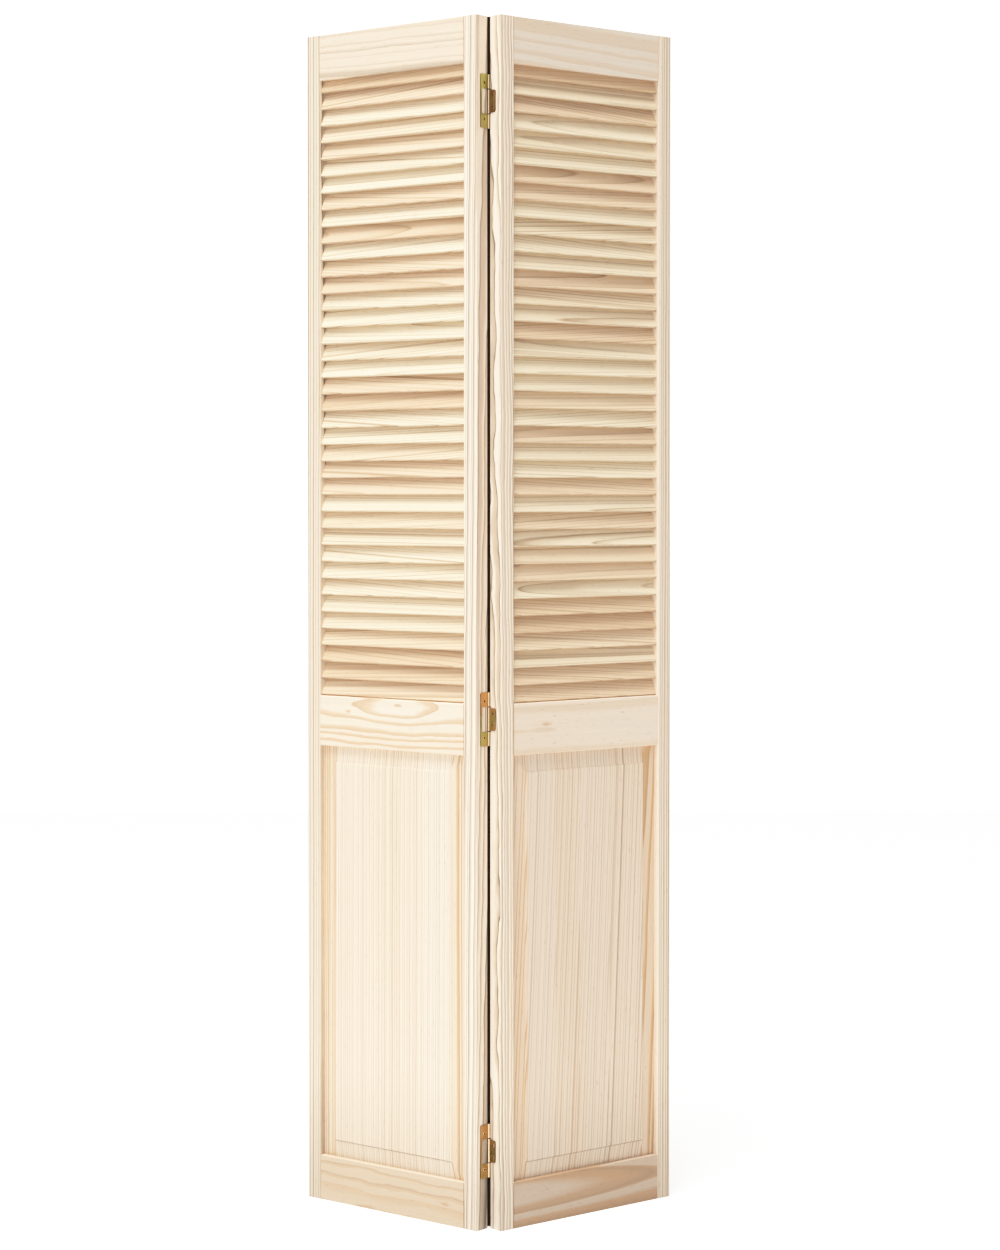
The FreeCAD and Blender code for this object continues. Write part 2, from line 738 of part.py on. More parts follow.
pieces = make_leaf("left", LEFT) + make_leaf("right", RIGHT)
for hinge_name, hinge_height in HINGES.items():
    pieces += make_hinge(hinge_name, hinge_height)
pieces += [
    make_screws("left_hinge_screws", LEFT, "outer"),
    make_screws("right_hinge_screws", RIGHT, "inner"),
]
doc.recompute()
check_document()
export(pieces)
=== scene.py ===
# %% [markdown]
# # A bifold closet door in unfinished pine
#
# Two narrow leaves hang together on three hinges. Each leaf is a frame of stiles and rails round
# fixed louvres and a raised panel, all of planed pine that nobody has sealed or painted yet. The
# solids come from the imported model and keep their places. What this script adds is what the eye
# needs: growth rings that run through every board, rounded slats, plating on the hinges, crosses
# in the screws, and soft light.
#
# The whole lesson works in metres, in the model's own frame: Z is up, X runs to the right and the
# ridge at the hinges points to -Y.

# %% Load the frame
import json
import math

import bmesh
import bpy
from mathutils import Euler, Matrix, Vector


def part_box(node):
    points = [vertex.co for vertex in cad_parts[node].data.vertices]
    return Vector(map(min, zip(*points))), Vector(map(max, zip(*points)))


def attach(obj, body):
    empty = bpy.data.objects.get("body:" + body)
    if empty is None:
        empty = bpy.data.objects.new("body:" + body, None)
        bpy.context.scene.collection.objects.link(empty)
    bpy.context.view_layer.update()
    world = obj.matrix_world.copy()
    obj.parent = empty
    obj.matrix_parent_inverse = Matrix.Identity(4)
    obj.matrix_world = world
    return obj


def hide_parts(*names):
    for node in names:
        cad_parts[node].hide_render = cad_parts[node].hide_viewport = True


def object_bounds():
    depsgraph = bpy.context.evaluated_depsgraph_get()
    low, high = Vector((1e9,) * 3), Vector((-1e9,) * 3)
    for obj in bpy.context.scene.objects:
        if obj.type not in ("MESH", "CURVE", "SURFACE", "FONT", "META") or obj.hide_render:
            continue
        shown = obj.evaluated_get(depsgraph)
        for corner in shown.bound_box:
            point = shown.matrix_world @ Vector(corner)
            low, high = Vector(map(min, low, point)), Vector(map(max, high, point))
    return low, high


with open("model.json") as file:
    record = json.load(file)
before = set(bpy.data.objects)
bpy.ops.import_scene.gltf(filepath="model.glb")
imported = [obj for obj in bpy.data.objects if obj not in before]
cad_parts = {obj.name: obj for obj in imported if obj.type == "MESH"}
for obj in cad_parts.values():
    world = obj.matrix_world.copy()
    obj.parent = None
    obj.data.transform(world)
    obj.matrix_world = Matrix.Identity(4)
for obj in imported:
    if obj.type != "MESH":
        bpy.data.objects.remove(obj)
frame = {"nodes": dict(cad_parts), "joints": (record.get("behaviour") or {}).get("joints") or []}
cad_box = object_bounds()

nodes = frame["nodes"]

# %% [markdown]
# ## The frame of a leaf
#
# Wood is easiest to think about flat on the bench. Each leaf is turned about the hinge pins by the
# same angle, one each way, so one matrix per leaf carries flat bench sizes to the folded door. The
# joint tells us both things that the matrix needs: where the pins are, and how far the door has to
# turn to lie flat, which is twice the angle of one leaf.

# %% Leaf frames
fold = frame["joints"][0]
FOLD_ANGLE = math.radians(-fold["range_deg"][0] / 2)
PINS = Vector((fold["pos_m"][0], fold["pos_m"][1], 0))
SIDES = {"left": -1, "right": 1}
MM = 0.001


def leaf_matrix(side):
    """Carries a point of the flat leaf to its place in the folded door."""
    return Matrix.Translation(PINS) @ Matrix.Rotation(side * FOLD_ANGLE, 4, "Z")


def flat_box(node, side):
    """Lowest and highest corners of a node, measured on the flat leaf."""
    flatten = leaf_matrix(side).inverted()
    places = [flatten @ vertex.co for vertex in nodes[node].data.vertices]
    low = Vector(min(place[axis] for place in places) for axis in range(3))
    high = Vector(max(place[axis] for place in places) for axis in range(3))
    return low, high


print(f"each leaf turns {math.degrees(FOLD_ANGLE):.1f} degrees about the pins at y = {PINS.y:.4f}")

# %% [markdown]
# ## Small tools for materials
#
# Colours are easiest to choose and compare as hex values, which are sRGB, but shaders calculate in
# linear light, so one function translates. A second one adds a node, sets its properties and joins
# its inputs. It takes a node where a socket is wanted and uses its first output, which keeps long
# chains of maths readable. The last two start a node group with named inputs and fill a colour
# ramp, because several steps need each of them.

# %% Colour and node helpers


def linear(hex_colour):
    """An sRGB hex colour as linear red, green, blue and alpha."""
    channels = [int(hex_colour[start:start + 2], 16) / 255 for start in (1, 3, 5)]
    return [c / 12.92 if c <= 0.04045 else ((c + 0.055) / 1.055) ** 2.4 for c in channels] + [1]


def add(tree, kind, inputs=None, **settings):
    """Add a node: settings are its properties, inputs its sockets' values or what feeds them."""
    node = tree.nodes.new(kind)
    for name, setting in settings.items():
        setattr(node, name, setting)
    for socket, source in (inputs or {}).items():
        if isinstance(source, bpy.types.Node):
            source = source.outputs[0]
        if isinstance(source, bpy.types.NodeSocket):
            tree.links.new(source, node.inputs[socket])
        else:
            node.inputs[socket].default_value = source
    return node


def new_group(name, kind, sockets):
    """A node group with named inputs; each socket is a name, a type and a default value."""
    tree = bpy.data.node_groups.new(name, kind)
    for socket, socket_type, default in sockets:
        item = tree.interface.new_socket(socket, in_out="INPUT", socket_type=socket_type)
        if default is not None:
            item.default_value = default
    return tree


def fill_ramp(node, stops):
    """Give a colour ramp its stops, each with a position and a linear colour."""
    elements = node.color_ramp.elements
    elements.remove(elements[1])
    for number, (position, colour) in enumerate(stops):
        stop = elements[0] if number == 0 else elements.new(position)
        stop.position, stop.color = position, colour


print("pale pine in linear light:", [round(c, 3) for c in linear("#E6DCC6")[:3]])

# %% [markdown]
# ## Growth rings
#
# A tree lays down one ring a year: pale, soft wood in spring that darkens to a thin hard line in
# late summer and then stops dead. A board is a slice of those nested cones. Painting stripes on
# each face would never meet at the corners, so the rings are calculated in three dimensions: the
# distance from the tree's pith, divided by the width of a ring. Every face of the board then shows
# the cut it really would, straight lines where it runs towards the pith, and long tongues and eyes
# where it runs across it.
#
# The pith is a line beside the board. It may lean, which makes tongues, or bow, which makes closed
# eyes. No tree is a perfect cone, so slow noise makes the rings waver and quicker noise ripples
# them. A small healed knot can be set on a board as a mark. The board's own frame has X across its
# face, Y through its thickness and Z up the grain.

# %% What a board tells the rings
RING_SOCKETS = [
    ("Place", "NodeSocketVector", None),
    ("Pith", "NodeSocketVector", (0.1, 0.02, 0)),
    ("Lean", "NodeSocketVector", (0, 0, 0)),
    ("Bow", "NodeSocketFloat", 0),
    ("Ring width", "NodeSocketFloat", 5 * MM),
    ("Waver", "NodeSocketFloat", 1.5 * MM),
    ("Ripple", "NodeSocketFloat", 0.3 * MM),
    ("Line", "NodeSocketFloat", 0.8),
    ("Late", "NodeSocketFloat", 0.45),
    ("Phase", "NodeSocketFloat", 0),
    ("Tan", "NodeSocketFloat", 0.15),
    # A knot with next to no radius is no knot.
    ("Mark", "NodeSocketVector", (0, 0.001 * MM, 0)),
    ("Seed", "NodeSocketFloat", 0),
    ("Spring wood", "NodeSocketColor", linear("#EDD9C2")),
    ("Summer wood", "NodeSocketColor", linear("#7F7364")),
    ("Heart wood", "NodeSocketColor", linear("#D2A67C")),
]
print(f"{len(RING_SOCKETS)} values describe the wood of a board")

# %% Noise along the grain
# How quickly each pattern changes across the board and up the grain, in cycles a metre.
WAVER_RATE = (9, 9, 1.6)
RIPPLE_RATE = (35, 35, 11)
TAN_RATE = (11, 11, 1.3)
STREAK_RATE = (210, 210, 3.5)
FIBRE_RATE = (900, 900, 14)
DUCT_RATE = (800, 800, 80)
MARK_RATE = (220, 220, 60)
SEED_STEP = (17.3, 5.1, 9.7)
NOISE_MIDDLE = (0.5, 0.5, 0.5)


def pattern(tree, place, seed, rate, detail):
    """Noise drawn out along the grain, with its middle at nought."""
    stretched = add(tree, "ShaderNodeVectorMath", {0: place, 1: rate}, operation="MULTIPLY")
    jump = add(tree, "ShaderNodeVectorMath", {0: SEED_STEP, "Scale": seed}, operation="SCALE")
    moved = add(tree, "ShaderNodeVectorMath", {0: stretched, 1: jump}, operation="ADD")
    noise = add(tree, "ShaderNodeTexNoise", {"Vector": moved, "Scale": 1, "Detail": detail})
    return add(tree, "ShaderNodeVectorMath", {0: noise.outputs["Color"], 1: NOISE_MIDDLE},
               operation="SUBTRACT")


print(f"bundles of fibres come about every {1 / STREAK_RATE[0] / MM:.1f} mm across the grain")

# %% Distance from the pith
# A bowed pith bends back to straight beyond this distance along the board.
BOW_REACH = 0.08
# Noise keeps within about a quarter of its middle, so this gain gives it a swing of about one.
NOISE_GAIN = 4


def distance_from_pith(tree, given):
    """How far each point of the board lies from the wavering, leaning, bowed pith."""
    from_pith = add(tree, "ShaderNodeVectorMath", {0: given["Place"], 1: given["Pith"]},
                    operation="SUBTRACT")
    along = add(tree, "ShaderNodeSeparateXYZ", {0: from_pith}).outputs["Z"]
    lean = add(tree, "ShaderNodeVectorMath", {0: given["Lean"], "Scale": along}, operation="SCALE")
    upright = add(tree, "ShaderNodeVectorMath", {0: from_pith, 1: lean}, operation="SUBTRACT")
    squared = add(tree, "ShaderNodeMath", {0: along, 1: along}, operation="MULTIPLY")
    steeper = add(tree, "ShaderNodeMath", {0: squared, 1: given["Bow"]}, operation="MULTIPLY")
    straighter = add(tree, "ShaderNodeMath", {0: squared, 1: BOW_REACH ** -2, 2: 1},
                     operation="MULTIPLY_ADD")
    bow = add(tree, "ShaderNodeMath", {0: steeper, 1: straighter}, operation="DIVIDE")
    bow_shift = add(tree, "ShaderNodeCombineXYZ", {"Y": bow})
    moved = add(tree, "ShaderNodeVectorMath", {0: upright, 1: bow_shift}, operation="SUBTRACT")
    for socket, rate, detail in (("Waver", WAVER_RATE, 3), ("Ripple", RIPPLE_RATE, 2)):
        noise = pattern(tree, given["Place"], given["Seed"], rate, detail)
        swing = add(tree, "ShaderNodeMath", {0: given[socket], 1: NOISE_GAIN}, operation="MULTIPLY")
        shift = add(tree, "ShaderNodeVectorMath", {0: noise, "Scale": swing}, operation="SCALE")
        moved = add(tree, "ShaderNodeVectorMath", {0: moved, 1: shift}, operation="ADD")
    level = add(tree, "ShaderNodeVectorMath", {0: moved, 1: (1, 1, 0)}, operation="MULTIPLY")
    return add(tree, "ShaderNodeVectorMath", {0: level}, operation="LENGTH").outputs["Value"]


print(f"a bowed pith is straight again about {BOW_REACH / MM:.0f} mm from its middle")

# %% A healed knot
KNOT_WOOD = "#C48F68"
# How much X, Y and Z count towards a knot's radius. It runs right through the board, so Y doesn't
# count, and it is longer up the grain.
KNOT_SQUASH = (1, 0, 0.45)
KNOT_RAGGEDNESS = 2
KNOT_SHARE = 0.75


def mark_of(tree, given):
    """Where a small healed knot shows: Mark holds its X, its radius and its Z on the board."""
    mark = add(tree, "ShaderNodeSeparateXYZ", {0: given["Mark"]}).outputs
    middle = add(tree, "ShaderNodeCombineXYZ", {"X": mark["X"], "Z": mark["Z"]})
    away = add(tree, "ShaderNodeVectorMath", {0: given["Place"], 1: middle}, operation="SUBTRACT")
    oval = add(tree, "ShaderNodeVectorMath", {0: away, 1: KNOT_SQUASH}, operation="MULTIPLY")
    far = add(tree, "ShaderNodeVectorMath", {0: oval}, operation="LENGTH").outputs["Value"]
    ragged = pattern(tree, given["Place"], given["Seed"], MARK_RATE, detail=2)
    uneven = add(tree, "ShaderNodeMath", {0: ragged, 1: mark["Y"]}, operation="MULTIPLY")
    edge = add(tree, "ShaderNodeMath", {0: uneven, 1: KNOT_RAGGEDNESS, 2: far},
               operation="MULTIPLY_ADD")
    return add(tree, "ShaderNodeMapRange",
               {"Value": edge, "From Min": mark["Y"], "From Max": 0, "To Max": KNOT_SHARE})


print(f"a knot is {1 / KNOT_SQUASH[2]:.1f} times as long as it is wide")

# %% Years and their late wood
LUCK_RATE = 0.6
LUCK_SHIFT = 1.6
# The shades of the late part of a year, from where it begins to darken to where it stops dead.
LATE_SHADES = ((0.0, 0.0), (0.35, 0.22), (0.70, 0.42), (0.88, 1.0), (1.0, 0.0))
FAINTEST_YEAR = 0.35


def late_wood(tree, given):
    """How far a point is into the late part of its year, and how strong the line is there."""
    # Years counted out from the pith, some good and some lean.
    even = add(tree, "ShaderNodeMath", {0: distance_from_pith(tree, given), 1: given["Ring width"]},
               operation="DIVIDE")
    seeded = add(tree, "ShaderNodeMath", {0: even, 1: given["Seed"]}, operation="ADD")
    luck = add(tree, "ShaderNodeTexNoise", {"W": seeded, "Scale": LUCK_RATE, "Detail": 1},
               noise_dimensions="1D")
    counted = add(tree, "ShaderNodeMath", {0: even, 1: given["Phase"]}, operation="ADD")
    years = add(tree, "ShaderNodeMath", {0: luck, 1: LUCK_SHIFT, 2: counted},
                operation="MULTIPLY_ADD")
    season = add(tree, "ShaderNodeMath", {0: years}, operation="FRACT")
    year = add(tree, "ShaderNodeMath", {0: years}, operation="FLOOR")

    # Spring wood darkens late in the year to a band, and the band to a thin line that ends at once.
    turning = add(tree, "ShaderNodeMath", {0: 1, 1: given["Late"]}, operation="SUBTRACT")
    late = add(tree, "ShaderNodeMapRange", {"Value": season, "From Min": turning})
    shade = add(tree, "ShaderNodeValToRGB", {"Fac": late})
    fill_ramp(shade, [(position, (grey, grey, grey, 1)) for position, grey in LATE_SHADES])
    numbered = add(tree, "ShaderNodeMath", {0: year, 1: given["Seed"]}, operation="ADD")
    weather = add(tree, "ShaderNodeTexWhiteNoise", {"W": numbered}, noise_dimensions="1D")
    strength = add(tree, "ShaderNodeMapRange", {"Value": weather, "To Min": FAINTEST_YEAR})
    drawn = add(tree, "ShaderNodeMath", {0: shade, 1: strength}, operation="MULTIPLY")
    line = add(tree, "ShaderNodeMath", {0: drawn, 1: given["Line"]}, operation="MULTIPLY")
    return late, line


print(f"the faintest year's line is {FAINTEST_YEAR:.0%} as strong as the strongest one's")

# %% Fibres and resin ducts
FIBRE_SHADE = 0.17
DUCT_RANGE = (0.13, 0.19)
DUCT_SHADE = 0.8


def flecks_of(tree, given):
    """The finest fibres, and how far fibres and resin ducts lighten or darken the wood."""
    # Bundles of fibres catch the eye, and the finest ones are felt under a finger.
    streak = pattern(tree, given["Place"], given["Seed"], STREAK_RATE, detail=2)
    fibre = pattern(tree, given["Place"], given["Seed"], FIBRE_RATE, detail=1)
    fibrous = 1.0
    for noise in (streak, fibre):
        fibrous = add(tree, "ShaderNodeMath", {0: noise, 1: FIBRE_SHADE, 2: fibrous},
                      operation="MULTIPLY_ADD")
    duct = pattern(tree, given["Place"], given["Seed"], DUCT_RATE, detail=0)
    ducts = add(tree, "ShaderNodeMapRange",
                {"Value": duct, "From Min": DUCT_RANGE[0], "From Max": DUCT_RANGE[1],
                 "To Min": 1, "To Max": DUCT_SHADE})
    flecked = add(tree, "ShaderNodeMath", {0: fibrous, 1: ducts}, operation="MULTIPLY")
    return fibre, flecked


print(f"a resin duct darkens the wood by up to {1 - DUCT_SHADE:.0%}")

# %% The growth ring group
# Wood is plain where the cloud noise is at the first value, and resinous at the second.
CLOUD_RANGE = (-0.22, 0.3)
WARM_BAND = 0.4
FIBRE_HEIGHT = 0.5


def make_ring_group():
    """Colour and height of pine at any point of a board."""
    tree = new_group("pine_growth_rings", "ShaderNodeTree", RING_SOCKETS)
    tree.interface.new_socket("Color", in_out="OUTPUT", socket_type="NodeSocketColor")
    tree.interface.new_socket("Height", in_out="OUTPUT", socket_type="NodeSocketFloat")
    given = tree.nodes.new("NodeGroupInput").outputs
    late, line = late_wood(tree, given)

    # Resin-rich wood is warmer: in long clouds, and in the late band of each year.
    cloud = pattern(tree, given["Place"], given["Seed"], TAN_RATE, detail=2)
    cloudy = add(tree, "ShaderNodeMapRange",
                 {"Value": cloud, "From Min": CLOUD_RANGE[0], "From Max": CLOUD_RANGE[1]})
    band = add(tree, "ShaderNodeMapRange", {"Value": late, "From Max": WARM_BAND})
    resin = add(tree, "ShaderNodeMath", {0: cloudy, 1: band}, operation="ADD")
    warmth = add(tree, "ShaderNodeMath", {0: resin, 1: given["Tan"]}, operation="MULTIPLY")

    # Warm wood over spring wood, summer lines over both, and a knot over all of them.
    wood = given["Spring wood"]
    for share, over in ((warmth, given["Heart wood"]), (line, given["Summer wood"]),
                        (mark_of(tree, given), linear(KNOT_WOOD))):
        wood = add(tree, "ShaderNodeMix", {0: share, 6: wood, 7: over}, data_type="RGBA").outputs[2]
    fibre, flecked = flecks_of(tree, given)
    colour = add(tree, "ShaderNodeVectorMath", {0: wood, "Scale": flecked}, operation="SCALE")

    # Planing presses the soft wood down and leaves the summer lines a little proud.
    height = add(tree, "ShaderNodeMath", {0: fibre, 1: FIBRE_HEIGHT, 2: line},
                 operation="MULTIPLY_ADD")
    add(tree, "NodeGroupOutput", {"Color": colour, "Height": height})
    return tree


rings = make_ring_group()
print(f"the growth ring group has {len(rings.nodes)} nodes")

# %% [markdown]
# ## Planed pine
#
# Unfinished pine is dry and matt: the planer leaves it smooth, but there is no film of lacquer to
# shine, so its roughness is high and its reflections are wide and weak. Every board gets a
# material of its own because every board is cut from another place in another tree. The pattern
# reads Object coordinates, turned into the board's frame by one Mapping node.
#
# Light and shade are painted into the wood's colour too. Painted shade darkens it towards the foot
# and on edges that look down, and painted light makes level ledges palest. Those three shades
# read the height and the direction of the surface, so they turn with the door.

# %% The surface of planed pine
PINE_ROUGHNESS = 0.62
PINE_SPECULAR = 0.3
RING_RELIEF = 0.07 * MM
RELIEF_STRENGTH = 0.5
# Painted shade: pine darkens smoothly towards the floor below this height.
FOOT_HEIGHT = 0.26
FOOT_SHADE = 0.76
# Painted light on ledges that look up, and painted shade on faces that look down.
# How far a face looks up, from 1 for level and upwards to -1 for downwards, picks these two out.
LEDGE_RANGE = (0.6, 0.9)
LEDGE_PALER = 1.45
SHOULDER_RANGE = (-0.6, -0.5)


def new_material(name):
    """A new material with an empty node tree."""
    material = bpy.data.materials.new(name)
    material.use_nodes = True
    material.node_tree.nodes.clear()
    return material, material.node_tree


def finish_pine(tree, wood, underside=1):
    """Matt wood with painted shade at the foot and underneath and painted light on ledges."""
    stands = add(tree, "ShaderNodeTexCoord").outputs
    height = add(tree, "ShaderNodeSeparateXYZ", {0: stands["Object"]}).outputs["Z"]
    foot = add(tree, "ShaderNodeMapRange",
               {"Value": height, "From Max": FOOT_HEIGHT, "To Min": FOOT_SHADE},
               interpolation_type="SMOOTHSTEP")
    looks_up = add(tree, "ShaderNodeSeparateXYZ", {0: stands["Normal"]}).outputs["Z"]
    ledge = add(tree, "ShaderNodeMapRange",
                {"Value": looks_up, "From Min": LEDGE_RANGE[0], "From Max": LEDGE_RANGE[1],
                 "To Min": 1, "To Max": LEDGE_PALER})
    shoulder = add(tree, "ShaderNodeMapRange",
                   {"Value": looks_up, "From Min": SHOULDER_RANGE[0],
                    "From Max": SHOULDER_RANGE[1], "To Min": underside, "To Max": 1})
    # Painted light on ledges and painted shade underneath and at the foot, as one tone.
    painted_light_and_shade = add(tree, "ShaderNodeMath", {0: ledge, 1: shoulder}, operation="MULTIPLY")
    tone = add(tree, "ShaderNodeMath", {0: painted_light_and_shade, 1: foot}, operation="MULTIPLY")
    colour = add(tree, "ShaderNodeVectorMath", {0: wood.outputs["Color"], "Scale": tone},
                 operation="SCALE")
    relief = add(tree, "ShaderNodeBump",
                 {"Height": wood.outputs["Height"], "Distance": RING_RELIEF,
                  "Strength": RELIEF_STRENGTH})
    surface = add(tree, "ShaderNodeBsdfPrincipled",
                  {"Base Color": colour, "Normal": relief,
                   "Roughness": PINE_ROUGHNESS, "Specular IOR Level": PINE_SPECULAR})
    add(tree, "ShaderNodeOutputMaterial", {"Surface": surface})


print(f"pine is up to {1 - FOOT_SHADE:.0%} darker below {FOOT_HEIGHT / MM:.0f} mm")

# %% One board of pine
QUARTER_TURN = math.pi / 2


def board_centre(node, side):
    """The middle of a board, in the folded door's frame."""
    low, high = flat_box(node, side)
    return leaf_matrix(side) @ ((low + high) / 2)


def board_place(tree, centre, side, level):
    """The board's own coordinates: X across its face, Y through it, Z up its grain."""
    coordinates = add(tree, "ShaderNodeTexCoord")
    lay_down = Matrix.Rotation(QUARTER_TURN if level else 0, 3, "Y")
    turn = (Matrix.Rotation(side * FOLD_ANGLE, 3, "Z") @ lay_down).to_euler()
    return add(tree, "ShaderNodeMapping",
               {"Vector": coordinates.outputs["Object"], "Location": centre, "Rotation": turn},
               vector_type="TEXTURE")


def make_pine(name, centre, side, level=False, **cut):
    """Planed pine for one board; cut gives the ring group's sockets, with spaces as underscores."""
    material, tree = new_material(f"planed_pine_{name}")
    values = {socket.replace("_", " ").capitalize(): value for socket, value in cut.items()}
    place = board_place(tree, centre, side, level)
    wood = add(tree, "ShaderNodeGroup", {"Place": place, **values}, node_tree=rings)
    finish_pine(tree, wood)
    return material


def dress(node, material):
    """Give a node of the model its finish; its shape stays as it is."""
    slots = nodes[node].data.materials
    slots.clear()
    slots.append(material)


middle_rail = board_centre("left_middle_rail", SIDES["left"])
print(f"the left middle rail is centred {middle_rail.z:.3f} m above the floor")


# %% [markdown]
# ## Stiles and rails
#
# The stiles are sawn so that the rings cross their face: straight, close, upright lines, which
# also keeps a tall door from twisting. The rails are sawn the other way, flat across the rings, and
# show the tongues, waves and eyes that people think of as pine. The numbers below say where the
# pith lies from the middle of each board, how far it leans, and how it bows. A rail lies down, so
# its X points to the floor and its Z along the leaf. What a board leaves out keeps the ring group's
# own value.

# %% The boards' cuts
STILE_SAWING = dict(ring_width=6 * MM, late=0.65, line=1.45)
STILE_CUTS = {
    "left_hinge_stile": dict(pith=(0.160, 0.050, 1.00), lean=(0.010, 0.004, 0), seed=1.3,
                             waver=2.4 * MM, ripple=0.9 * MM, tan=0.22,
                             spring_wood=linear("#F2E0CB"), heart_wood=linear("#D9AC88")),
    "left_outer_stile": dict(pith=(-0.170, 0.020, 0.90), lean=(0.002, 0.001, 0), seed=4.1,
                             spring_wood=linear("#E0CEB7")),
    "right_hinge_stile": dict(pith=(-0.150, 0.045, 1.10), lean=(-0.007, 0.003, 0), seed=7.7,
                              waver=3.2 * MM, ripple=2.0 * MM, tan=0.3,
                              spring_wood=linear("#F5E6D3")),
    "right_outer_stile": dict(pith=(0.180, 0.030, 1.00), lean=(0.003, 0.002, 0), seed=9.2,
                              spring_wood=linear("#E7D4BE")),
}
RAIL_CUTS = {
    "left_top_rail": dict(pith=(-0.090, 0.030, 0.00), lean=(0.03, 0.02, 0), seed=2.2, tan=0.08,
                          ring_width=12 * MM, line=0.55, waver=3 * MM, ripple=1.5 * MM,
                          spring_wood=linear("#E1CCB4")),
    "left_middle_rail": dict(pith=(-0.030, -0.0083, 0.018), bow=3.4, seed=5.6, phase=-0.38,
                             tan=0.5, ring_width=13 * MM, line=0.36, late=0.5, waver=4 * MM,
                             ripple=2.4 * MM, mark=(-0.018, 4 * MM, -0.094),
                             spring_wood=linear("#EAD8C2")),
    # The bottom rails' spring wood is darker: partly their own tone, partly painted shade near the
    # floor.
    "left_bottom_rail": dict(pith=(0.060, 0.012, 0.05), lean=(0.02, 0.02, 0), seed=3.4, tan=0.3,
                             ring_width=22 * MM, line=0.36, late=0.4, waver=9 * MM,
                             ripple=5 * MM, mark=(0.004, 5 * MM, 0.118),
                             spring_wood=linear("#D8C3AA")),
    "right_top_rail": dict(pith=(-0.120, 0.030, 0.10), lean=(0.05, 0.03, 0), seed=8.3, tan=0.25,
                           ring_width=22 * MM, line=0.10, waver=5 * MM, ripple=2 * MM,
                           spring_wood=linear("#D9CBBB")),
    "right_middle_rail": dict(pith=(0.004, 0.010, 0.115), bow=0.6, seed=6.1, tan=0.22,
                              ring_width=24 * MM, line=0.20, waver=6 * MM, ripple=2 * MM,
                              mark=(-0.006, 6 * MM, -0.090), spring_wood=linear("#DFCDB9")),
    "right_bottom_rail": dict(pith=(-0.0105, 0.0167, 0.119), lean=(0.02, 0.06, 0), seed=2.9,
                              tan=0.6, phase=-0.29, ring_width=22 * MM, line=0.4, late=0.65,
                              waver=2 * MM, spring_wood=linear("#C6B6A5"),
                              heart_wood=linear("#BE9672")),
}

for cuts, level, shared in ((STILE_CUTS, False, STILE_SAWING), (RAIL_CUTS, True, {})):
    for node, cut in cuts.items():
        side = SIDES[node.split("_")[0]]
        dress(node, make_pine(node, board_centre(node, side), side, level, **shared, **cut))
print(f"dressed {len(STILE_CUTS)} stiles and {len(RAIL_CUTS)} rails")

# %% [markdown]
# ## The raised panels
#
# A panel this wide is never one board. Strips are glued edge to edge, the grain of each upright,
# and planed together. Seen close, the tone and the spacing of the lines change suddenly at each
# glue line. A colour ramp with constant steps makes a handy table for that: it is read with the
# distance across the panel, and its three channels say how far the strip's pattern is shifted, how
# tan it is and how flat its rings were sawn.

# %% Edge-glued panel material
# Each strip starts at a share of the panel's width, then has its shift, tan and flatness.
PANEL_STRIPS = {
    "left": ((0.00, 0.31, 0.68, 0.75), (0.115, 0.72, 0.18, 0.10), (0.34, 0.15, 0.30, 0.00),
             (0.53, 0.55, 0.22, 0.05), (0.70, 0.90, 0.10, 0.00), (0.885, 0.42, 0.55, 0.85)),
    "right": ((0.00, 0.64, 0.62, 0.80), (0.115, 0.22, 0.10, 0.00), (0.30, 0.47, 0.35, 0.10),
              (0.46, 0.83, 0.20, 0.00), (0.66, 0.16, 0.28, 0.05), (0.885, 0.36, 0.72, 0.70)),
}
PANEL_SAWING = {
    "left": {"Line": 0.95, "Ring width": 4.2 * MM, "Lean": (0.004, 0.002, 0),
             "Spring wood": linear("#EAD6BF")},
    "right": {"Line": 0.8, "Ring width": 6.4 * MM, "Lean": (0.045, 0.002, 0),
              "Spring wood": linear("#DBC7B3")},
}
PANEL_WAVER = 1.6 * MM
PANEL_RIPPLE = 0.15 * MM
# Painted shade: the panel's faces that look down, such as the lower shoulder, keep this share.
PANEL_SHOULDER = 0.62
QUARTER_SAWN = Vector((0.30, 0.05, 0))
FLAT_SAWN = Vector((0.03, 0.09, 0))
# How far a strip's shift of 1 moves its pith, in metres, and how many seeds it is worth.
STRIP_SHIFT = (0.04, 0, 1)
STRIP_SEEDS = 40


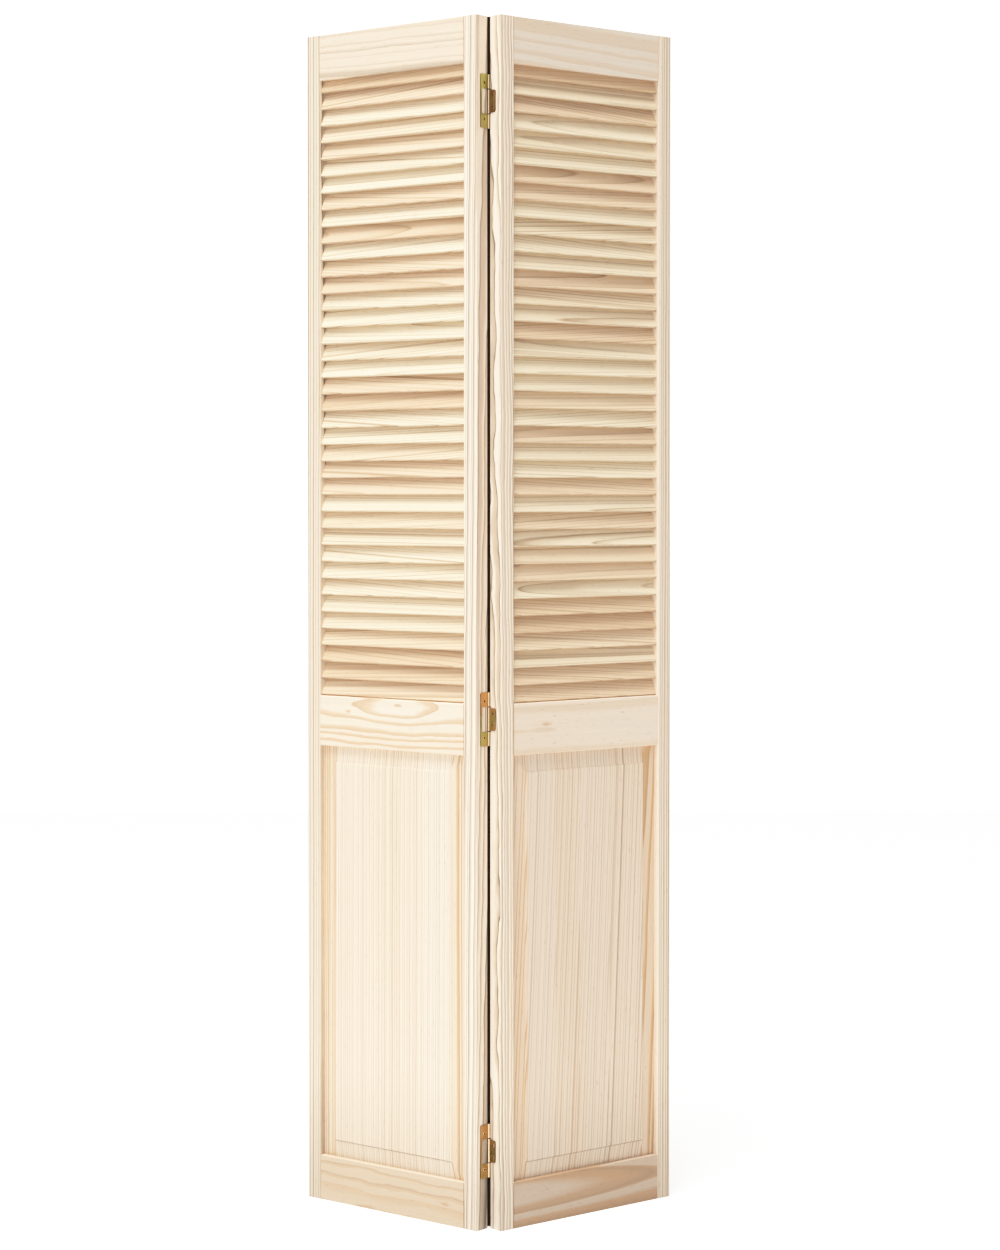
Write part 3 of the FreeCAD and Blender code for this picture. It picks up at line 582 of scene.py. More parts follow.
def make_panel_pine(name, side):
    """Edge-glued pine: a table of strips, each with its own piece of tree."""
    node = f"{name}_raised_panel"
    low, high = flat_box(node, side)
    half = (high.x - low.x) / 2
    material, tree = new_material(f"edge_glued_pine_{name}")
    place = board_place(tree, board_centre(node, side), side, level=False)
    across = add(tree, "ShaderNodeSeparateXYZ", {0: place}).outputs["X"]
    share = add(tree, "ShaderNodeMapRange", {"Value": across, "From Min": -half, "From Max": half})
    table = add(tree, "ShaderNodeValToRGB", {"Fac": share})
    table.color_ramp.interpolation = "CONSTANT"
    fill_ramp(table, [(start, (*values, 1)) for start, *values in PANEL_STRIPS[name]])
    strip = add(tree, "ShaderNodeSeparateColor", {0: table})
    shift, tan, flat = (strip.outputs[channel] for channel in ("Red", "Green", "Blue"))
    shifts = add(tree, "ShaderNodeCombineXYZ", {"X": shift, "Z": shift})
    moved = add(tree, "ShaderNodeVectorMath", {0: shifts, 1: STRIP_SHIFT}, operation="MULTIPLY")
    pith = add(tree, "ShaderNodeMix", {0: flat, 4: QUARTER_SAWN, 5: FLAT_SAWN}, data_type="VECTOR")
    aimed = add(tree, "ShaderNodeVectorMath", {0: pith.outputs[1], 1: moved}, operation="ADD")
    seed = add(tree, "ShaderNodeMath", {0: shift, 1: STRIP_SEEDS}, operation="MULTIPLY")
    wood = add(tree, "ShaderNodeGroup",
               {"Place": place, "Pith": aimed, "Tan": tan, "Seed": seed, "Waver": PANEL_WAVER,
                "Ripple": PANEL_RIPPLE, **PANEL_SAWING[name]}, node_tree=rings)
    finish_pine(tree, wood, underside=PANEL_SHOULDER)
    return material


for name, side in SIDES.items():
    dress(f"{name}_raised_panel", make_panel_pine(name, side))
    print(f"{name} panel: {len(PANEL_STRIPS[name])} strips")

# %% [markdown]
# ## Louvre slats
#
# A slat is a thin board with rounded long edges, let into a slanting mortise at each end. All of
# them are alike and stand at one pitch, so this is work for Geometry Nodes: draw the rounded
# section once, sweep it to length, lean it, and set it down again and again up a line. Modelling
# one slat with an Array modifier would do for the shape, but here each slat also needs to know
# what piece of wood it is. Two attributes carry that: the place on the slat, stored before it is
# leaned and repeated, and three random numbers, stored on each copy.

# %% Slat sizes
SLAT_WIDTH = 38 * MM
SLAT_THICKNESS = 6 * MM
SLAT_ROUNDING = 1.8 * MM
SLAT_TILT = math.radians(26)
SLAT_COUNT = 36
ROUNDING_STEPS = 4
WELD_DISTANCE = 0.01 * MM

slat_low, slat_high = flat_box("right_louvre_slats", 1)
slat_length = slat_high.x - slat_low.x
# The solids have flat arrises, so a slat's height there isn't quite that of the rounded section.
SOLID_ARRIS = 1.8 * MM
solid_height = (SLAT_WIDTH * math.cos(SLAT_TILT)
                + (SLAT_THICKNESS - 2 * SOLID_ARRIS) * math.sin(SLAT_TILT))
slat_pitch = (slat_high.z - slat_low.z - solid_height) / (SLAT_COUNT - 1)
lowest_slat = slat_low.z + solid_height / 2
leaf_depth = (slat_low.y + slat_high.y) / 2
print(f"slats {slat_length / MM:.1f} mm long at a pitch of {slat_pitch / MM:.2f} mm")

# %% What the slat tree is given
SLAT_SOCKETS = [
    ("Length", "NodeSocketFloat", slat_length),
    ("Width", "NodeSocketFloat", SLAT_WIDTH),
    ("Thickness", "NodeSocketFloat", SLAT_THICKNESS),
    ("Rounding", "NodeSocketFloat", SLAT_ROUNDING),
    ("Tilt", "NodeSocketFloat", SLAT_TILT),
    ("Count", "NodeSocketInt", SLAT_COUNT),
    ("Pitch", "NodeSocketFloat", slat_pitch),
    ("Lowest slat", "NodeSocketVector", None),
    ("Leaf turn", "NodeSocketVector", None),
    ("Pins", "NodeSocketVector", None),
    ("Seed", "NodeSocketInt", 0),
    ("Least chance", "NodeSocketVector", (0, 0, 0)),
    ("Wood", "NodeSocketMaterial", None),
]
print(f"{len(SLAT_SOCKETS)} inputs shape and place the slats")

# %% The slat tree


def make_slat_tree():
    """Rounded slats, leaned and stacked, each carrying its own piece of wood."""
    tree = new_group("louvre_slats", "GeometryNodeTree", SLAT_SOCKETS)
    tree.interface.new_socket("Geometry", in_out="OUTPUT", socket_type="NodeSocketGeometry")
    given = tree.nodes.new("NodeGroupInput").outputs

    section = add(tree, "GeometryNodeCurvePrimitiveQuadrilateral",
                  {"Width": given["Width"], "Height": given["Thickness"]})
    rounded = add(tree, "GeometryNodeFilletCurve",
                  {"Curve": section, "Count": ROUNDING_STEPS, "Radius": given["Rounding"]},
                  mode="POLY")
    face = add(tree, "GeometryNodeFillCurve", {"Curve": rounded}, mode="NGONS")
    rise = add(tree, "ShaderNodeCombineXYZ", {"Z": given["Length"]})
    body = add(tree, "GeometryNodeExtrudeMesh",
               {"Mesh": face, "Offset": rise, "Offset Scale": 1, "Individual": False})
    turned_cap = add(tree, "GeometryNodeFlipFaces", {"Mesh": face})
    closed = add(tree, "GeometryNodeJoinGeometry")
    for part in (body, turned_cap):
        tree.links.new(part.outputs[0], closed.inputs[0])
    welded = add(tree, "GeometryNodeMergeByDistance",
                 {"Geometry": closed, "Distance": WELD_DISTANCE})
    drop = add(tree, "ShaderNodeVectorMath", {0: rise, 1: (0, 0, -0.5)}, operation="MULTIPLY")
    centred = add(tree, "GeometryNodeTransform", {"Geometry": welded, "Translation": drop})
    place = add(tree, "GeometryNodeInputPosition")
    marked = add(tree, "GeometryNodeStoreNamedAttribute",
                 {"Geometry": centred, "Name": "slat_place", "Value": place},
                 data_type="FLOAT_VECTOR", domain="POINT")

    # Lay the slat along the leaf, then lean its top edge back.
    laid = add(tree, "GeometryNodeTransform",
               {"Geometry": marked, "Rotation": Euler((QUARTER_TURN, 0, QUARTER_TURN))})
    upright = add(tree, "GeometryNodeTransform",
                  {"Geometry": laid, "Rotation": Euler((QUARTER_TURN, 0, 0))})
    back = add(tree, "ShaderNodeMath", {0: given["Tilt"], 1: -1}, operation="MULTIPLY")
    tilt = add(tree, "ShaderNodeCombineXYZ", {"X": back})
    leaned = add(tree, "GeometryNodeTransform", {"Geometry": upright, "Rotation": tilt})

    step = add(tree, "ShaderNodeCombineXYZ", {"Z": given["Pitch"]})
    places = add(tree, "GeometryNodeMeshLine",
                 {"Count": given["Count"], "Start Location": given["Lowest slat"], "Offset": step})
    stack = add(tree, "GeometryNodeInstanceOnPoints", {"Points": places, "Instance": leaned})
    chance = add(tree, "FunctionNodeRandomValue",
                 {"Seed": given["Seed"], 0: given["Least chance"]}, data_type="FLOAT_VECTOR")
    owned = add(tree, "GeometryNodeStoreNamedAttribute",
                {"Geometry": stack, "Name": "slat_wood", "Value": chance.outputs[0]},
                data_type="FLOAT_VECTOR", domain="INSTANCE")
    real = add(tree, "GeometryNodeRealizeInstances", {"Geometry": owned})
    folded = add(tree, "GeometryNodeTransform",
                 {"Geometry": real, "Rotation": given["Leaf turn"], "Translation": given["Pins"]})
    done = add(tree, "GeometryNodeSetMaterial", {"Geometry": folded, "Material": given["Wood"]})
    add(tree, "NodeGroupOutput", {"Geometry": done})
    return tree


slat_tree = make_slat_tree()
print(f"the slat tree has {len(slat_tree.nodes)} nodes")

# %% From a tree to a plain mesh


def grow(tree, name, values, base=None):
    """Run a geometry tree and return a new object that holds its result as a plain mesh."""
    grown = bpy.data.objects.new(name, base or bpy.data.meshes.new(name))
    bpy.context.scene.collection.objects.link(grown)
    modifier = grown.modifiers.new("grow", "NODES")
    modifier.node_group = tree
    identifiers = {item.name: item.identifier for item in tree.interface.items_tree}
    for socket, value in values.items():
        modifier[identifiers[socket]] = value
    evaluated = grown.evaluated_get(bpy.context.evaluated_depsgraph_get())
    mesh = bpy.data.meshes.new_from_object(evaluated)
    grown.modifiers.clear()
    grown.data = mesh
    mesh.name = name
    return grown


def smooth_to(piece, degrees):
    """Shade a piece smoothly, except across edges that turn by more than the angle."""
    piece.data.polygons.foreach_set("use_smooth", [True] * len(piece.data.polygons))
    piece.data.set_sharp_from_angle(angle=math.radians(degrees))


print("helpers ready: grow a mesh from a tree, and smooth it")

# %% [markdown]
# The slats' wood reads the two attributes. The stored place puts the rings in the slat's own frame,
# and the random numbers aim the pith somewhere new for each slat, near it for a flat sawn slat with
# tongues or far to one side for straight lines, and pick how warm the slat is.

# %% Slat material
# The plain colour of a slat for the second of its random numbers, from cream to a pinkish tan.
SLAT_SHADES = ((0.0, "#F0DDBE"), (0.35, "#EAD4B5"), (0.55, "#E7CCAC"), (0.75, "#E3C7A8"),
               (0.9, "#DDBF9F"), (1.0, "#CEAE8D"))
# Painted shade: a slat's faces that look down, such as its lower edge, keep this share.
SLAT_UNDERSIDE = 0.7
# Where a slat's pith lies, in metres, how far chance moves it from there, and how far it leans it.
SLAT_PITH = (0, 0.04, 0)
SLAT_PITH_SPREAD = (0.30, 0.03, 0.5)
SLAT_LEAN_SPREAD = (0.16, 0.07, 0)
SLAT_SEED_SPREAD = 60
SLAT_TAN = (0.05, 0.3)
SLAT_TAN_FROM = 0.15
SLAT_SAWING = {"Ring width": 5.5 * MM, "Waver": 1.5 * MM, "Line": 0.95,
               "Summer wood": linear("#A08262"), "Heart wood": linear("#CFAA88")}


def make_slat_pine():
    """Planed pine in which each slat is cut from a place of its own."""
    material, tree = new_material("planed_pine_slats")
    place = add(tree, "ShaderNodeAttribute", attribute_name="slat_place").outputs["Vector"]
    chance = add(tree, "ShaderNodeAttribute", attribute_name="slat_wood").outputs["Vector"]
    luck = add(tree, "ShaderNodeVectorMath", {0: chance, 1: NOISE_MIDDLE}, operation="SUBTRACT")
    spread = add(tree, "ShaderNodeVectorMath", {0: luck, 1: SLAT_PITH_SPREAD}, operation="MULTIPLY")
    pith = add(tree, "ShaderNodeVectorMath", {0: spread, 1: SLAT_PITH}, operation="ADD")
    lean = add(tree, "ShaderNodeVectorMath", {0: luck, 1: SLAT_LEAN_SPREAD}, operation="MULTIPLY")
    drawn = add(tree, "ShaderNodeSeparateXYZ", {0: chance}).outputs
    seed = add(tree, "ShaderNodeMath", {0: drawn["Z"], 1: SLAT_SEED_SPREAD}, operation="MULTIPLY")
    tan = add(tree, "ShaderNodeMapRange",
              {"Value": drawn["Y"], "From Min": SLAT_TAN_FROM, "To Min": SLAT_TAN[0],
               "To Max": SLAT_TAN[1]})
    shade = add(tree, "ShaderNodeValToRGB", {"Fac": drawn["Y"]})
    fill_ramp(shade, [(position, linear(colour)) for position, colour in SLAT_SHADES])
    wood = add(tree, "ShaderNodeGroup",
               {"Place": place, "Pith": pith, "Lean": lean, "Seed": seed, "Tan": tan,
                "Spring wood": shade, **SLAT_SAWING}, node_tree=rings)
    finish_pine(tree, wood, underside=SLAT_UNDERSIDE)
    return material


slat_pine = make_slat_pine()
print(f"the colours of the slats run through {len(SLAT_SHADES)} shades")

# %% [markdown]
# The top slat is ripped along its length to fit under the top rail. It is grown as one slat from
# the same tree, then cut at the rail's lower face and closed, as a saw would do it.

# %% Grow and fit the slats
SLAT_SEEDS = {"left": 11, "right": 29}
# Painted shade: the ripped slats take only the tannest slat colours, for the shade under the rail.
RIPPED_PAINTED_SHADE = {"left": 0.94, "right": 0.99}
SLAT_SMOOTHING = 35


def rip_top(piece, height):
    """Saw a piece off level at a height and close the cut."""
    mesh = bmesh.new()
    mesh.from_mesh(piece.data)
    everything = mesh.verts[:] + mesh.edges[:] + mesh.faces[:]
    cut = bmesh.ops.bisect_plane(mesh, geom=everything, plane_co=(0, 0, height),
                                 plane_no=(0, 0, 1), clear_outer=True)
    rim = [item for item in cut["geom_cut"] if isinstance(item, bmesh.types.BMEdge)]
    bmesh.ops.contextual_create(mesh, geom=rim)
    bmesh.ops.recalc_face_normals(mesh, faces=mesh.faces[:])
    mesh.to_mesh(piece.data)
    mesh.free()


for name, side in SIDES.items():
    low, high = flat_box(f"{name}_louvre_slats", side)
    middle = (low.x + high.x) / 2
    shared = {"Leaf turn": (0, 0, side * FOLD_ANGLE), "Pins": PINS, "Wood": slat_pine}
    slats = grow(slat_tree, f"{name}_slats", {
        "Lowest slat": (middle, leaf_depth, lowest_slat), "Seed": SLAT_SEEDS[name], **shared})
    top = (middle, leaf_depth, lowest_slat + SLAT_COUNT * slat_pitch)
    ripped = grow(slat_tree, f"{name}_ripped_slat", {
        "Lowest slat": top, "Count": 1, "Seed": SLAT_SEEDS[name] + 1,
        "Least chance": (0, RIPPED_PAINTED_SHADE[name], 0), **shared})
    rip_top(ripped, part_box(f"{name}_top_slat")[1].z)
    for piece, node in ((slats, f"{name}_louvre_slats"), (ripped, f"{name}_top_slat")):
        smooth_to(piece, SLAT_SMOOTHING)
        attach(piece, f"{name}_leaf")
        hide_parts(node)
        print(f"{piece.name}: {len(piece.data.polygons)} faces")

# %% [markdown]
# ## Yellow zinc hinges
#
# Cheap steel hinges are electroplated with zinc and dipped in a chromate bath, which leaves a very
# thin yellow film. Its thickness varies, so the colour drifts between olive, gold, orange and
# bronze. Height up the plate and slow noise together are read through a colour ramp, so each plate
# has its own order of colours, and a finer noise breaks up the gloss.
#
# Light and shade are painted over the film, each by one mask. Painted shade makes the plates'
# edges and the flanks of the knuckles brown, a painted highlight makes the knuckles' crest pale,
# painted shade darkens the joints where one knuckle turns on the next, and painted shade fills the
# crosses of the screws. The masks of a plate read how far a point lies from the pins, how high it
# is and which way it faces.

# %% The colours of the plating
# Five tints of the film; the last three serve as painted highlight and shade and as plain colours.
PLATING_COLOURS = {
    "olive": "#A8A661", "gold": "#BA9A60", "amber": "#CC9D66", "bronze": "#A1805A",
    "teal": "#A0965F", "pale_and_highlight": "#F0CFA8", "dark_brown_and_shade": "#46341F", "pitch": "#140D07",
}
BLOTCH_TWIST = 0.6
BLOTCH_SHARE = 0.8
CLIMB_RANGE = (-0.4, 0.6)


def drifting_tint(tree, place, order, seed, span, patch):
    """Colours that follow one another up a part, with blotches where the bath clung."""
    blotch = add(tree, "ShaderNodeTexNoise",
                 {"Vector": place, "W": seed, "Scale": 1 / patch, "Detail": 1,
                  "Distortion": BLOTCH_TWIST}, noise_dimensions="4D")
    height = add(tree, "ShaderNodeSeparateXYZ", {0: place}).outputs["Z"]
    climb = add(tree, "ShaderNodeMapRange",
                {"Value": height, "From Min": span[0], "From Max": span[1],
                 "To Min": CLIMB_RANGE[0], "To Max": CLIMB_RANGE[1]})
    drift = add(tree, "ShaderNodeMath", {0: blotch, 1: BLOTCH_SHARE, 2: climb},
                operation="MULTIPLY_ADD")
    tint = add(tree, "ShaderNodeValToRGB", {"Fac": drift})
    fill_ramp(tint, [(number / (len(order) - 1), linear(PLATING_COLOURS[colour]))
                     for number, colour in enumerate(order)])
    return tint.outputs[0]


def lay_over(tree, ground, coats):
    """Colours from the table laid over one another, each by a share from 0 to 1."""
    for share, name in coats:
        colour = linear(PLATING_COLOURS[name])
        mixed = add(tree, "ShaderNodeMix", {0: share, 6: ground, 7: colour}, data_type="RGBA")
        ground = mixed.outputs[2]
    return ground


print(f"{len(PLATING_COLOURS)} colours of plating, wear and dirt")

# %% A plated surface
GRIT_SIZE = 0.8 * MM
GRIT_GLOSS = 0.07
GRIT_RELIEF = 0.02 * MM
GRIT_STRENGTH = 0.4


def finish_plating(tree, place, colour, roughness):
    """A metal surface with a gritty gloss."""
    grit = add(tree, "ShaderNodeTexNoise", {"Vector": place, "Scale": 1 / GRIT_SIZE, "Detail": 2})
    gloss = add(tree, "ShaderNodeMapRange",
                {"Value": grit, "To Min": roughness - GRIT_GLOSS, "To Max": roughness + GRIT_GLOSS})
    relief = add(tree, "ShaderNodeBump",
                 {"Height": grit, "Distance": GRIT_RELIEF, "Strength": GRIT_STRENGTH})
    surface = add(tree, "ShaderNodeBsdfPrincipled",
                  {"Base Color": colour, "Roughness": gloss, "Normal": relief, "Metallic": 1.0})
    add(tree, "ShaderNodeOutputMaterial", {"Surface": surface})


print(f"the grit of the plating is {GRIT_SIZE / MM:.1f} mm")

# %% Plating for the plates
PLATE_ROUGHNESS = 0.30
PLATE_PATCH = 20 * MM
KNUCKLE_RADIUS = 2.6 * MM
# Each mask is 0 at the first value of its range and 1 at the second. The first two ranges are
# distances, from the pin's axis and from a joint, and the others are how squarely a face looks.
KNUCKLE_RANGE = (KNUCKLE_RADIUS + 0.2 * MM, KNUCKLE_RADIUS + 0.1 * MM)
JOINT_RANGE = (1.0 * MM, 0.6 * MM)
CREST_RANGE = (0.80, 0.96)
EDGE_RANGE = (0.92, 0.5)


def on_knuckle(tree, place):
    """A mask of the knuckles, which lie close round the pin."""
    from_pin = add(tree, "ShaderNodeVectorMath", {0: place, 1: PINS}, operation="SUBTRACT")
    level = add(tree, "ShaderNodeVectorMath", {0: from_pin, 1: (1, 1, 0)}, operation="MULTIPLY")
    reach = add(tree, "ShaderNodeVectorMath", {0: level}, operation="LENGTH").outputs["Value"]
    return add(tree, "ShaderNodeMapRange",
               {"Value": reach, "From Min": KNUCKLE_RANGE[0], "From Max": KNUCKLE_RANGE[1]})


def near_joints(tree, place, joints):
    """A mask of the two heights where one knuckle turns on the next."""
    height = add(tree, "ShaderNodeSeparateXYZ", {0: place}).outputs["Z"]
    from_middle = add(tree, "ShaderNodeMath", {0: height, 1: (joints[0] + joints[1]) / 2},
                      operation="SUBTRACT")
    either_way = add(tree, "ShaderNodeMath", {0: from_middle}, operation="ABSOLUTE")
    off_joint = add(tree, "ShaderNodeMath", {0: either_way, 1: (joints[1] - joints[0]) / 2},
                    operation="SUBTRACT")
    distance = add(tree, "ShaderNodeMath", {0: off_joint}, operation="ABSOLUTE")
    return add(tree, "ShaderNodeMapRange",
               {"Value": distance, "From Min": JOINT_RANGE[0], "From Max": JOINT_RANGE[1]})


def make_plate_plating(name, order, seed, span, facing, joints):
    """Plating: painted shade on edges, knuckles, joints; painted highlight on the knuckles' crest.
    """
    material, tree = new_material(f"yellow_zinc_plated_steel_{name}")
    coordinates = add(tree, "ShaderNodeTexCoord").outputs
    place, normal = coordinates["Object"], coordinates["Normal"]
    outwards = add(tree, "ShaderNodeVectorMath", {0: normal, 1: (0, -1, 0)},
                   operation="DOT_PRODUCT").outputs["Value"]
    crest = add(tree, "ShaderNodeMapRange",
                {"Value": outwards, "From Min": CREST_RANGE[0], "From Max": CREST_RANGE[1]})
    squarely = add(tree, "ShaderNodeVectorMath", {0: normal, 1: facing},
                   operation="DOT_PRODUCT").outputs["Value"]
    turned = add(tree, "ShaderNodeMath", {0: squarely}, operation="ABSOLUTE")
    edge = add(tree, "ShaderNodeMapRange",
               {"Value": turned, "From Min": EDGE_RANGE[0], "From Max": EDGE_RANGE[1]})
    knuckle, joint = on_knuckle(tree, place), near_joints(tree, place, joints)
    # Painted shade on edges and the knuckles' flanks, a painted highlight on the crest, shade at
    # joints.
    dark_brown_and_shade = add(tree, "ShaderNodeMath", {0: knuckle, 1: edge}, operation="MAXIMUM")
    pale_and_highlight = add(tree, "ShaderNodeMath", {0: knuckle, 1: crest}, operation="MULTIPLY")
    joint_shade = add(tree, "ShaderNodeMath", {0: joint, 1: knuckle}, operation="MULTIPLY")
    tint = drifting_tint(tree, place, order, seed, span, PLATE_PATCH)
    colour = lay_over(tree, tint, ((dark_brown_and_shade, "dark_brown_and_shade"), (pale_and_highlight, "pale_and_highlight"), (joint_shade, "pitch")))
    finish_plating(tree, place, colour, PLATE_ROUGHNESS)
    return material


print(f"a knuckle is {2 * KNUCKLE_RADIUS / MM:.1f} mm across")

# %% Plating for pins and screws
PIN_ROUGHNESS = 0.35
PIN_PATCH = 8 * MM
SCREW_ROUGHNESS = 0.34
SCREW_PATCH = 4 * MM
SCREW_TINT_SEED = 20


def make_small_plating(name, order, seed, roughness, patch):
    """Plating for a pin or a screw, with painted shade in what the recess attribute marks."""
    material, tree = new_material(f"yellow_zinc_plated_steel_{name}")
    place = add(tree, "ShaderNodeTexCoord").outputs["Object"]
    tint = drifting_tint(tree, place, order, seed, (0, 1), patch)
    # Painted shade: the screws' cross recesses are laid over with near-black.
    recess = add(tree, "ShaderNodeAttribute", attribute_name="recess").outputs["Fac"]
    finish_plating(tree, place, lay_over(tree, tint, [(recess, "pitch")]), roughness)
    return material


screw_plating = make_small_plating("screws", ("pale_and_highlight", "pale_and_highlight", "gold"), SCREW_TINT_SEED,
                                   SCREW_ROUGHNESS, SCREW_PATCH)
print("made", screw_plating.name)

# %% Plate the hinges
# Each plate's colours, from its lower end up.
HINGE_TINTS = {
    "top": {"outer": ("teal", "olive", "olive"),
            "inner": ("bronze", "bronze", "teal", "bronze", "bronze")},
    "middle": {"outer": ("gold", "olive", "amber", "amber"), "inner": ("amber", "olive", "amber")},
    "bottom": {"outer": ("gold", "gold", "amber"), "inner": ("amber", "teal", "amber")},
}
for number, (hinge, plates) in enumerate(HINGE_TINTS.items()):
    joints = [corner.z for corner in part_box(f"{hinge}_hinge_inner_plate")]
    for part, order in plates.items():
        node = f"{hinge}_hinge_{part}_plate"
        low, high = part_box(node)
        side = SIDES["left" if part == "outer" else "right"]
        facing = leaf_matrix(side).to_3x3() @ Vector((1, 0, 0))
        dress(node, make_plate_plating(f"{hinge}_{part}", order, 3 * number + side,
                                       (low.z, high.z), facing, joints))
    dress(f"{hinge}_hinge_pin", make_small_plating(f"{hinge}_pin", ("dark_brown_and_shade", "pitch"), number,
                                                   PIN_ROUGHNESS, PIN_PATCH))
print(f"plated {len(HINGE_TINTS)} hinges")

# %% [markdown]
# ## Hinge screws
#
# Each plate is held by countersunk screws with a cross recess. The head is the only part that
# shows, almost flush in its countersink. It is modelled once with its tapered recess and placed by
# Geometry Nodes at every screw, each turned to a random angle, as nobody lines them up. The shank
# is a plain cylinder, because it is buried in the stile.

# %% One screw
HEAD_RADIUS = 3.1 * MM
SHANK_RADIUS = 1.7 * MM
HEAD_DEPTH = 1.2 * MM
SHANK_LENGTH = 15 * MM
RECESS_REACH = 2.2 * MM
RECESS_HALF_WIDTH = 0.7 * MM
RECESS_DEPTH = 1.0 * MM
RECESS_TAPER = 0.5
HEAD_SIDES = 24
# The head is slightly domed: its crown's radius and rise, and the rise at the recess.
CROWN_RADIUS = 2.4 * MM
CROWN_RISE = 0.18 * MM
DOME_RISE = 0.25 * MM


def cross_outline(reach, half_width):
    """The twelve corners of a cross, anticlockwise."""
    quarter = [(reach, -half_width), (reach, half_width), (half_width, half_width)]
    return [Matrix.Rotation(turn * QUARTER_TURN, 2) @ Vector(corner)
            for turn in range(4) for corner in quarter]


def make_screw():
    """A countersunk screw with a cross recess, its head's rim at Z = 0 and its shank below."""
    mesh = bmesh.new()
    recess = mesh.faces.layers.float.new("recess")

    def ring(outline, height):
        return [mesh.verts.new((x, y, height)) for x, y in outline]

    def circle(radius, height):
        angles = [2 * math.pi * step / HEAD_SIDES for step in range(HEAD_SIDES)]
        outline = [(radius * math.cos(angle), radius * math.sin(angle)) for angle in angles]
        return ring(outline, height)

    def wall(upper, lower):
        following = [*range(1, len(upper)), 0]
        return [mesh.faces.new((upper[here], lower[here], lower[after], upper[after]))
                for here, after in enumerate(following)]

    rim, neck = circle(HEAD_RADIUS, 0), circle(SHANK_RADIUS, -HEAD_DEPTH)
    tip = circle(SHANK_RADIUS, -SHANK_LENGTH)
    wall(rim, neck)
    wall(neck, tip)
    wall(circle(CROWN_RADIUS, CROWN_RISE), rim)
    mesh.faces.new(tip[::-1])
    mouth = ring(cross_outline(RECESS_REACH, RECESS_HALF_WIDTH), DOME_RISE)
    floor = ring(cross_outline(RECESS_REACH * RECESS_TAPER, RECESS_HALF_WIDTH * RECESS_TAPER),
                 -RECESS_DEPTH)
    for face in (*wall(floor, mouth), mesh.faces.new(floor)):
        face[recess] = 1
    rims = [edge for edge in mesh.edges if edge.is_boundary]
    bmesh.ops.triangle_fill(mesh, edges=rims, use_beauty=True, normal=(0, 0, 1))
    bmesh.ops.recalc_face_normals(mesh, faces=mesh.faces[:])
    data = bpy.data.meshes.new("hinge_screw")
    mesh.to_mesh(data)
    mesh.free()
    return bpy.data.objects.new("hinge_screw", data)


screw = make_screw()
print(f"one screw has {len(screw.data.polygons)} faces")

# %% The screw tree
SCREW_SOCKETS = [
    ("Geometry", "NodeSocketGeometry", None),
    ("Screw", "NodeSocketObject", None),
    ("Facing", "NodeSocketVector", None),
    ("Seed", "NodeSocketInt", 0),
    ("Plating", "NodeSocketMaterial", None),
]


def make_screw_tree():
    """Set a screw at each point, facing one way and turned at random in its hole."""
    tree = new_group("hinge_screws", "GeometryNodeTree", SCREW_SOCKETS)
    tree.interface.new_socket("Geometry", in_out="OUTPUT", socket_type="NodeSocketGeometry")
    given = tree.nodes.new("NodeGroupInput").outputs
    model = add(tree, "GeometryNodeObjectInfo", {"Object": given["Screw"]})
    facing = add(tree, "FunctionNodeAlignRotationToVector", {"Vector": given["Facing"]}, axis="Z")
    turn = add(tree, "FunctionNodeRandomValue",
               {2: 0.0, 3: QUARTER_TURN, "Seed": given["Seed"]}, data_type="FLOAT")
    about = add(tree, "ShaderNodeCombineXYZ", {"Z": turn.outputs[1]})
    spun = add(tree, "FunctionNodeRotateRotation", {"Rotation": facing, "Rotate By": about},
               rotation_space="LOCAL")
    placed = add(tree, "GeometryNodeInstanceOnPoints",
                 {"Points": given["Geometry"], "Instance": model.outputs["Geometry"],
                  "Rotation": spun})
    real = add(tree, "GeometryNodeRealizeInstances", {"Geometry": placed})
    done = add(tree, "GeometryNodeSetMaterial", {"Geometry": real, "Material": given["Plating"]})
    add(tree, "NodeGroupOutput", {"Geometry": done})
    return tree


screw_tree = make_screw_tree()
print(f"the screw tree has {len(screw_tree.nodes)} nodes")

# %% Place the screws
SCREW_SEEDS = {"left": 4, "right": 6}
SCREW_SMOOTHING = 30


def screw_faces(node, side):
    """The middle of each screw's head: one for each cluster of the node's vertices by height."""
    flatten = leaf_matrix(side).inverted()
    places = sorted((flatten @ vertex.co for vertex in nodes[node].data.vertices),
                    key=lambda place: place.z)
    clusters = [[places[0]]]
    for place in places[1:]:
        if place.z - clusters[-1][-1].z > HEAD_RADIUS:
            clusters.append([])
        clusters[-1].append(place)
    faces = []
    for cluster in clusters:
        face = min(side * place.x for place in cluster)
        heights = [place.z for place in cluster]
        depths = [place.y for place in cluster]
        faces.append(Vector((side * face, (min(depths) + max(depths)) / 2,
                             (min(heights) + max(heights)) / 2)))
    return [leaf_matrix(side) @ face for face in faces]


for name, side in SIDES.items():
    node = f"{name}_hinge_screws"
    points = bpy.data.meshes.new(f"{name}_screw_points")
    points.from_pydata(screw_faces(node, side), [], [])
    facing = leaf_matrix(side).to_3x3() @ Vector((-side, 0, 0))
    screws = grow(screw_tree, f"{name}_screws", {
        "Screw": screw, "Facing": facing, "Seed": SCREW_SEEDS[name],
        "Plating": screw_plating}, points)
    smooth_to(screws, SCREW_SMOOTHING)
    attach(screws, f"{name}_leaf")
    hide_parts(node)
    print(f"{name}: {len(points.vertices)} screws")
bpy.data.objects.remove(screw)

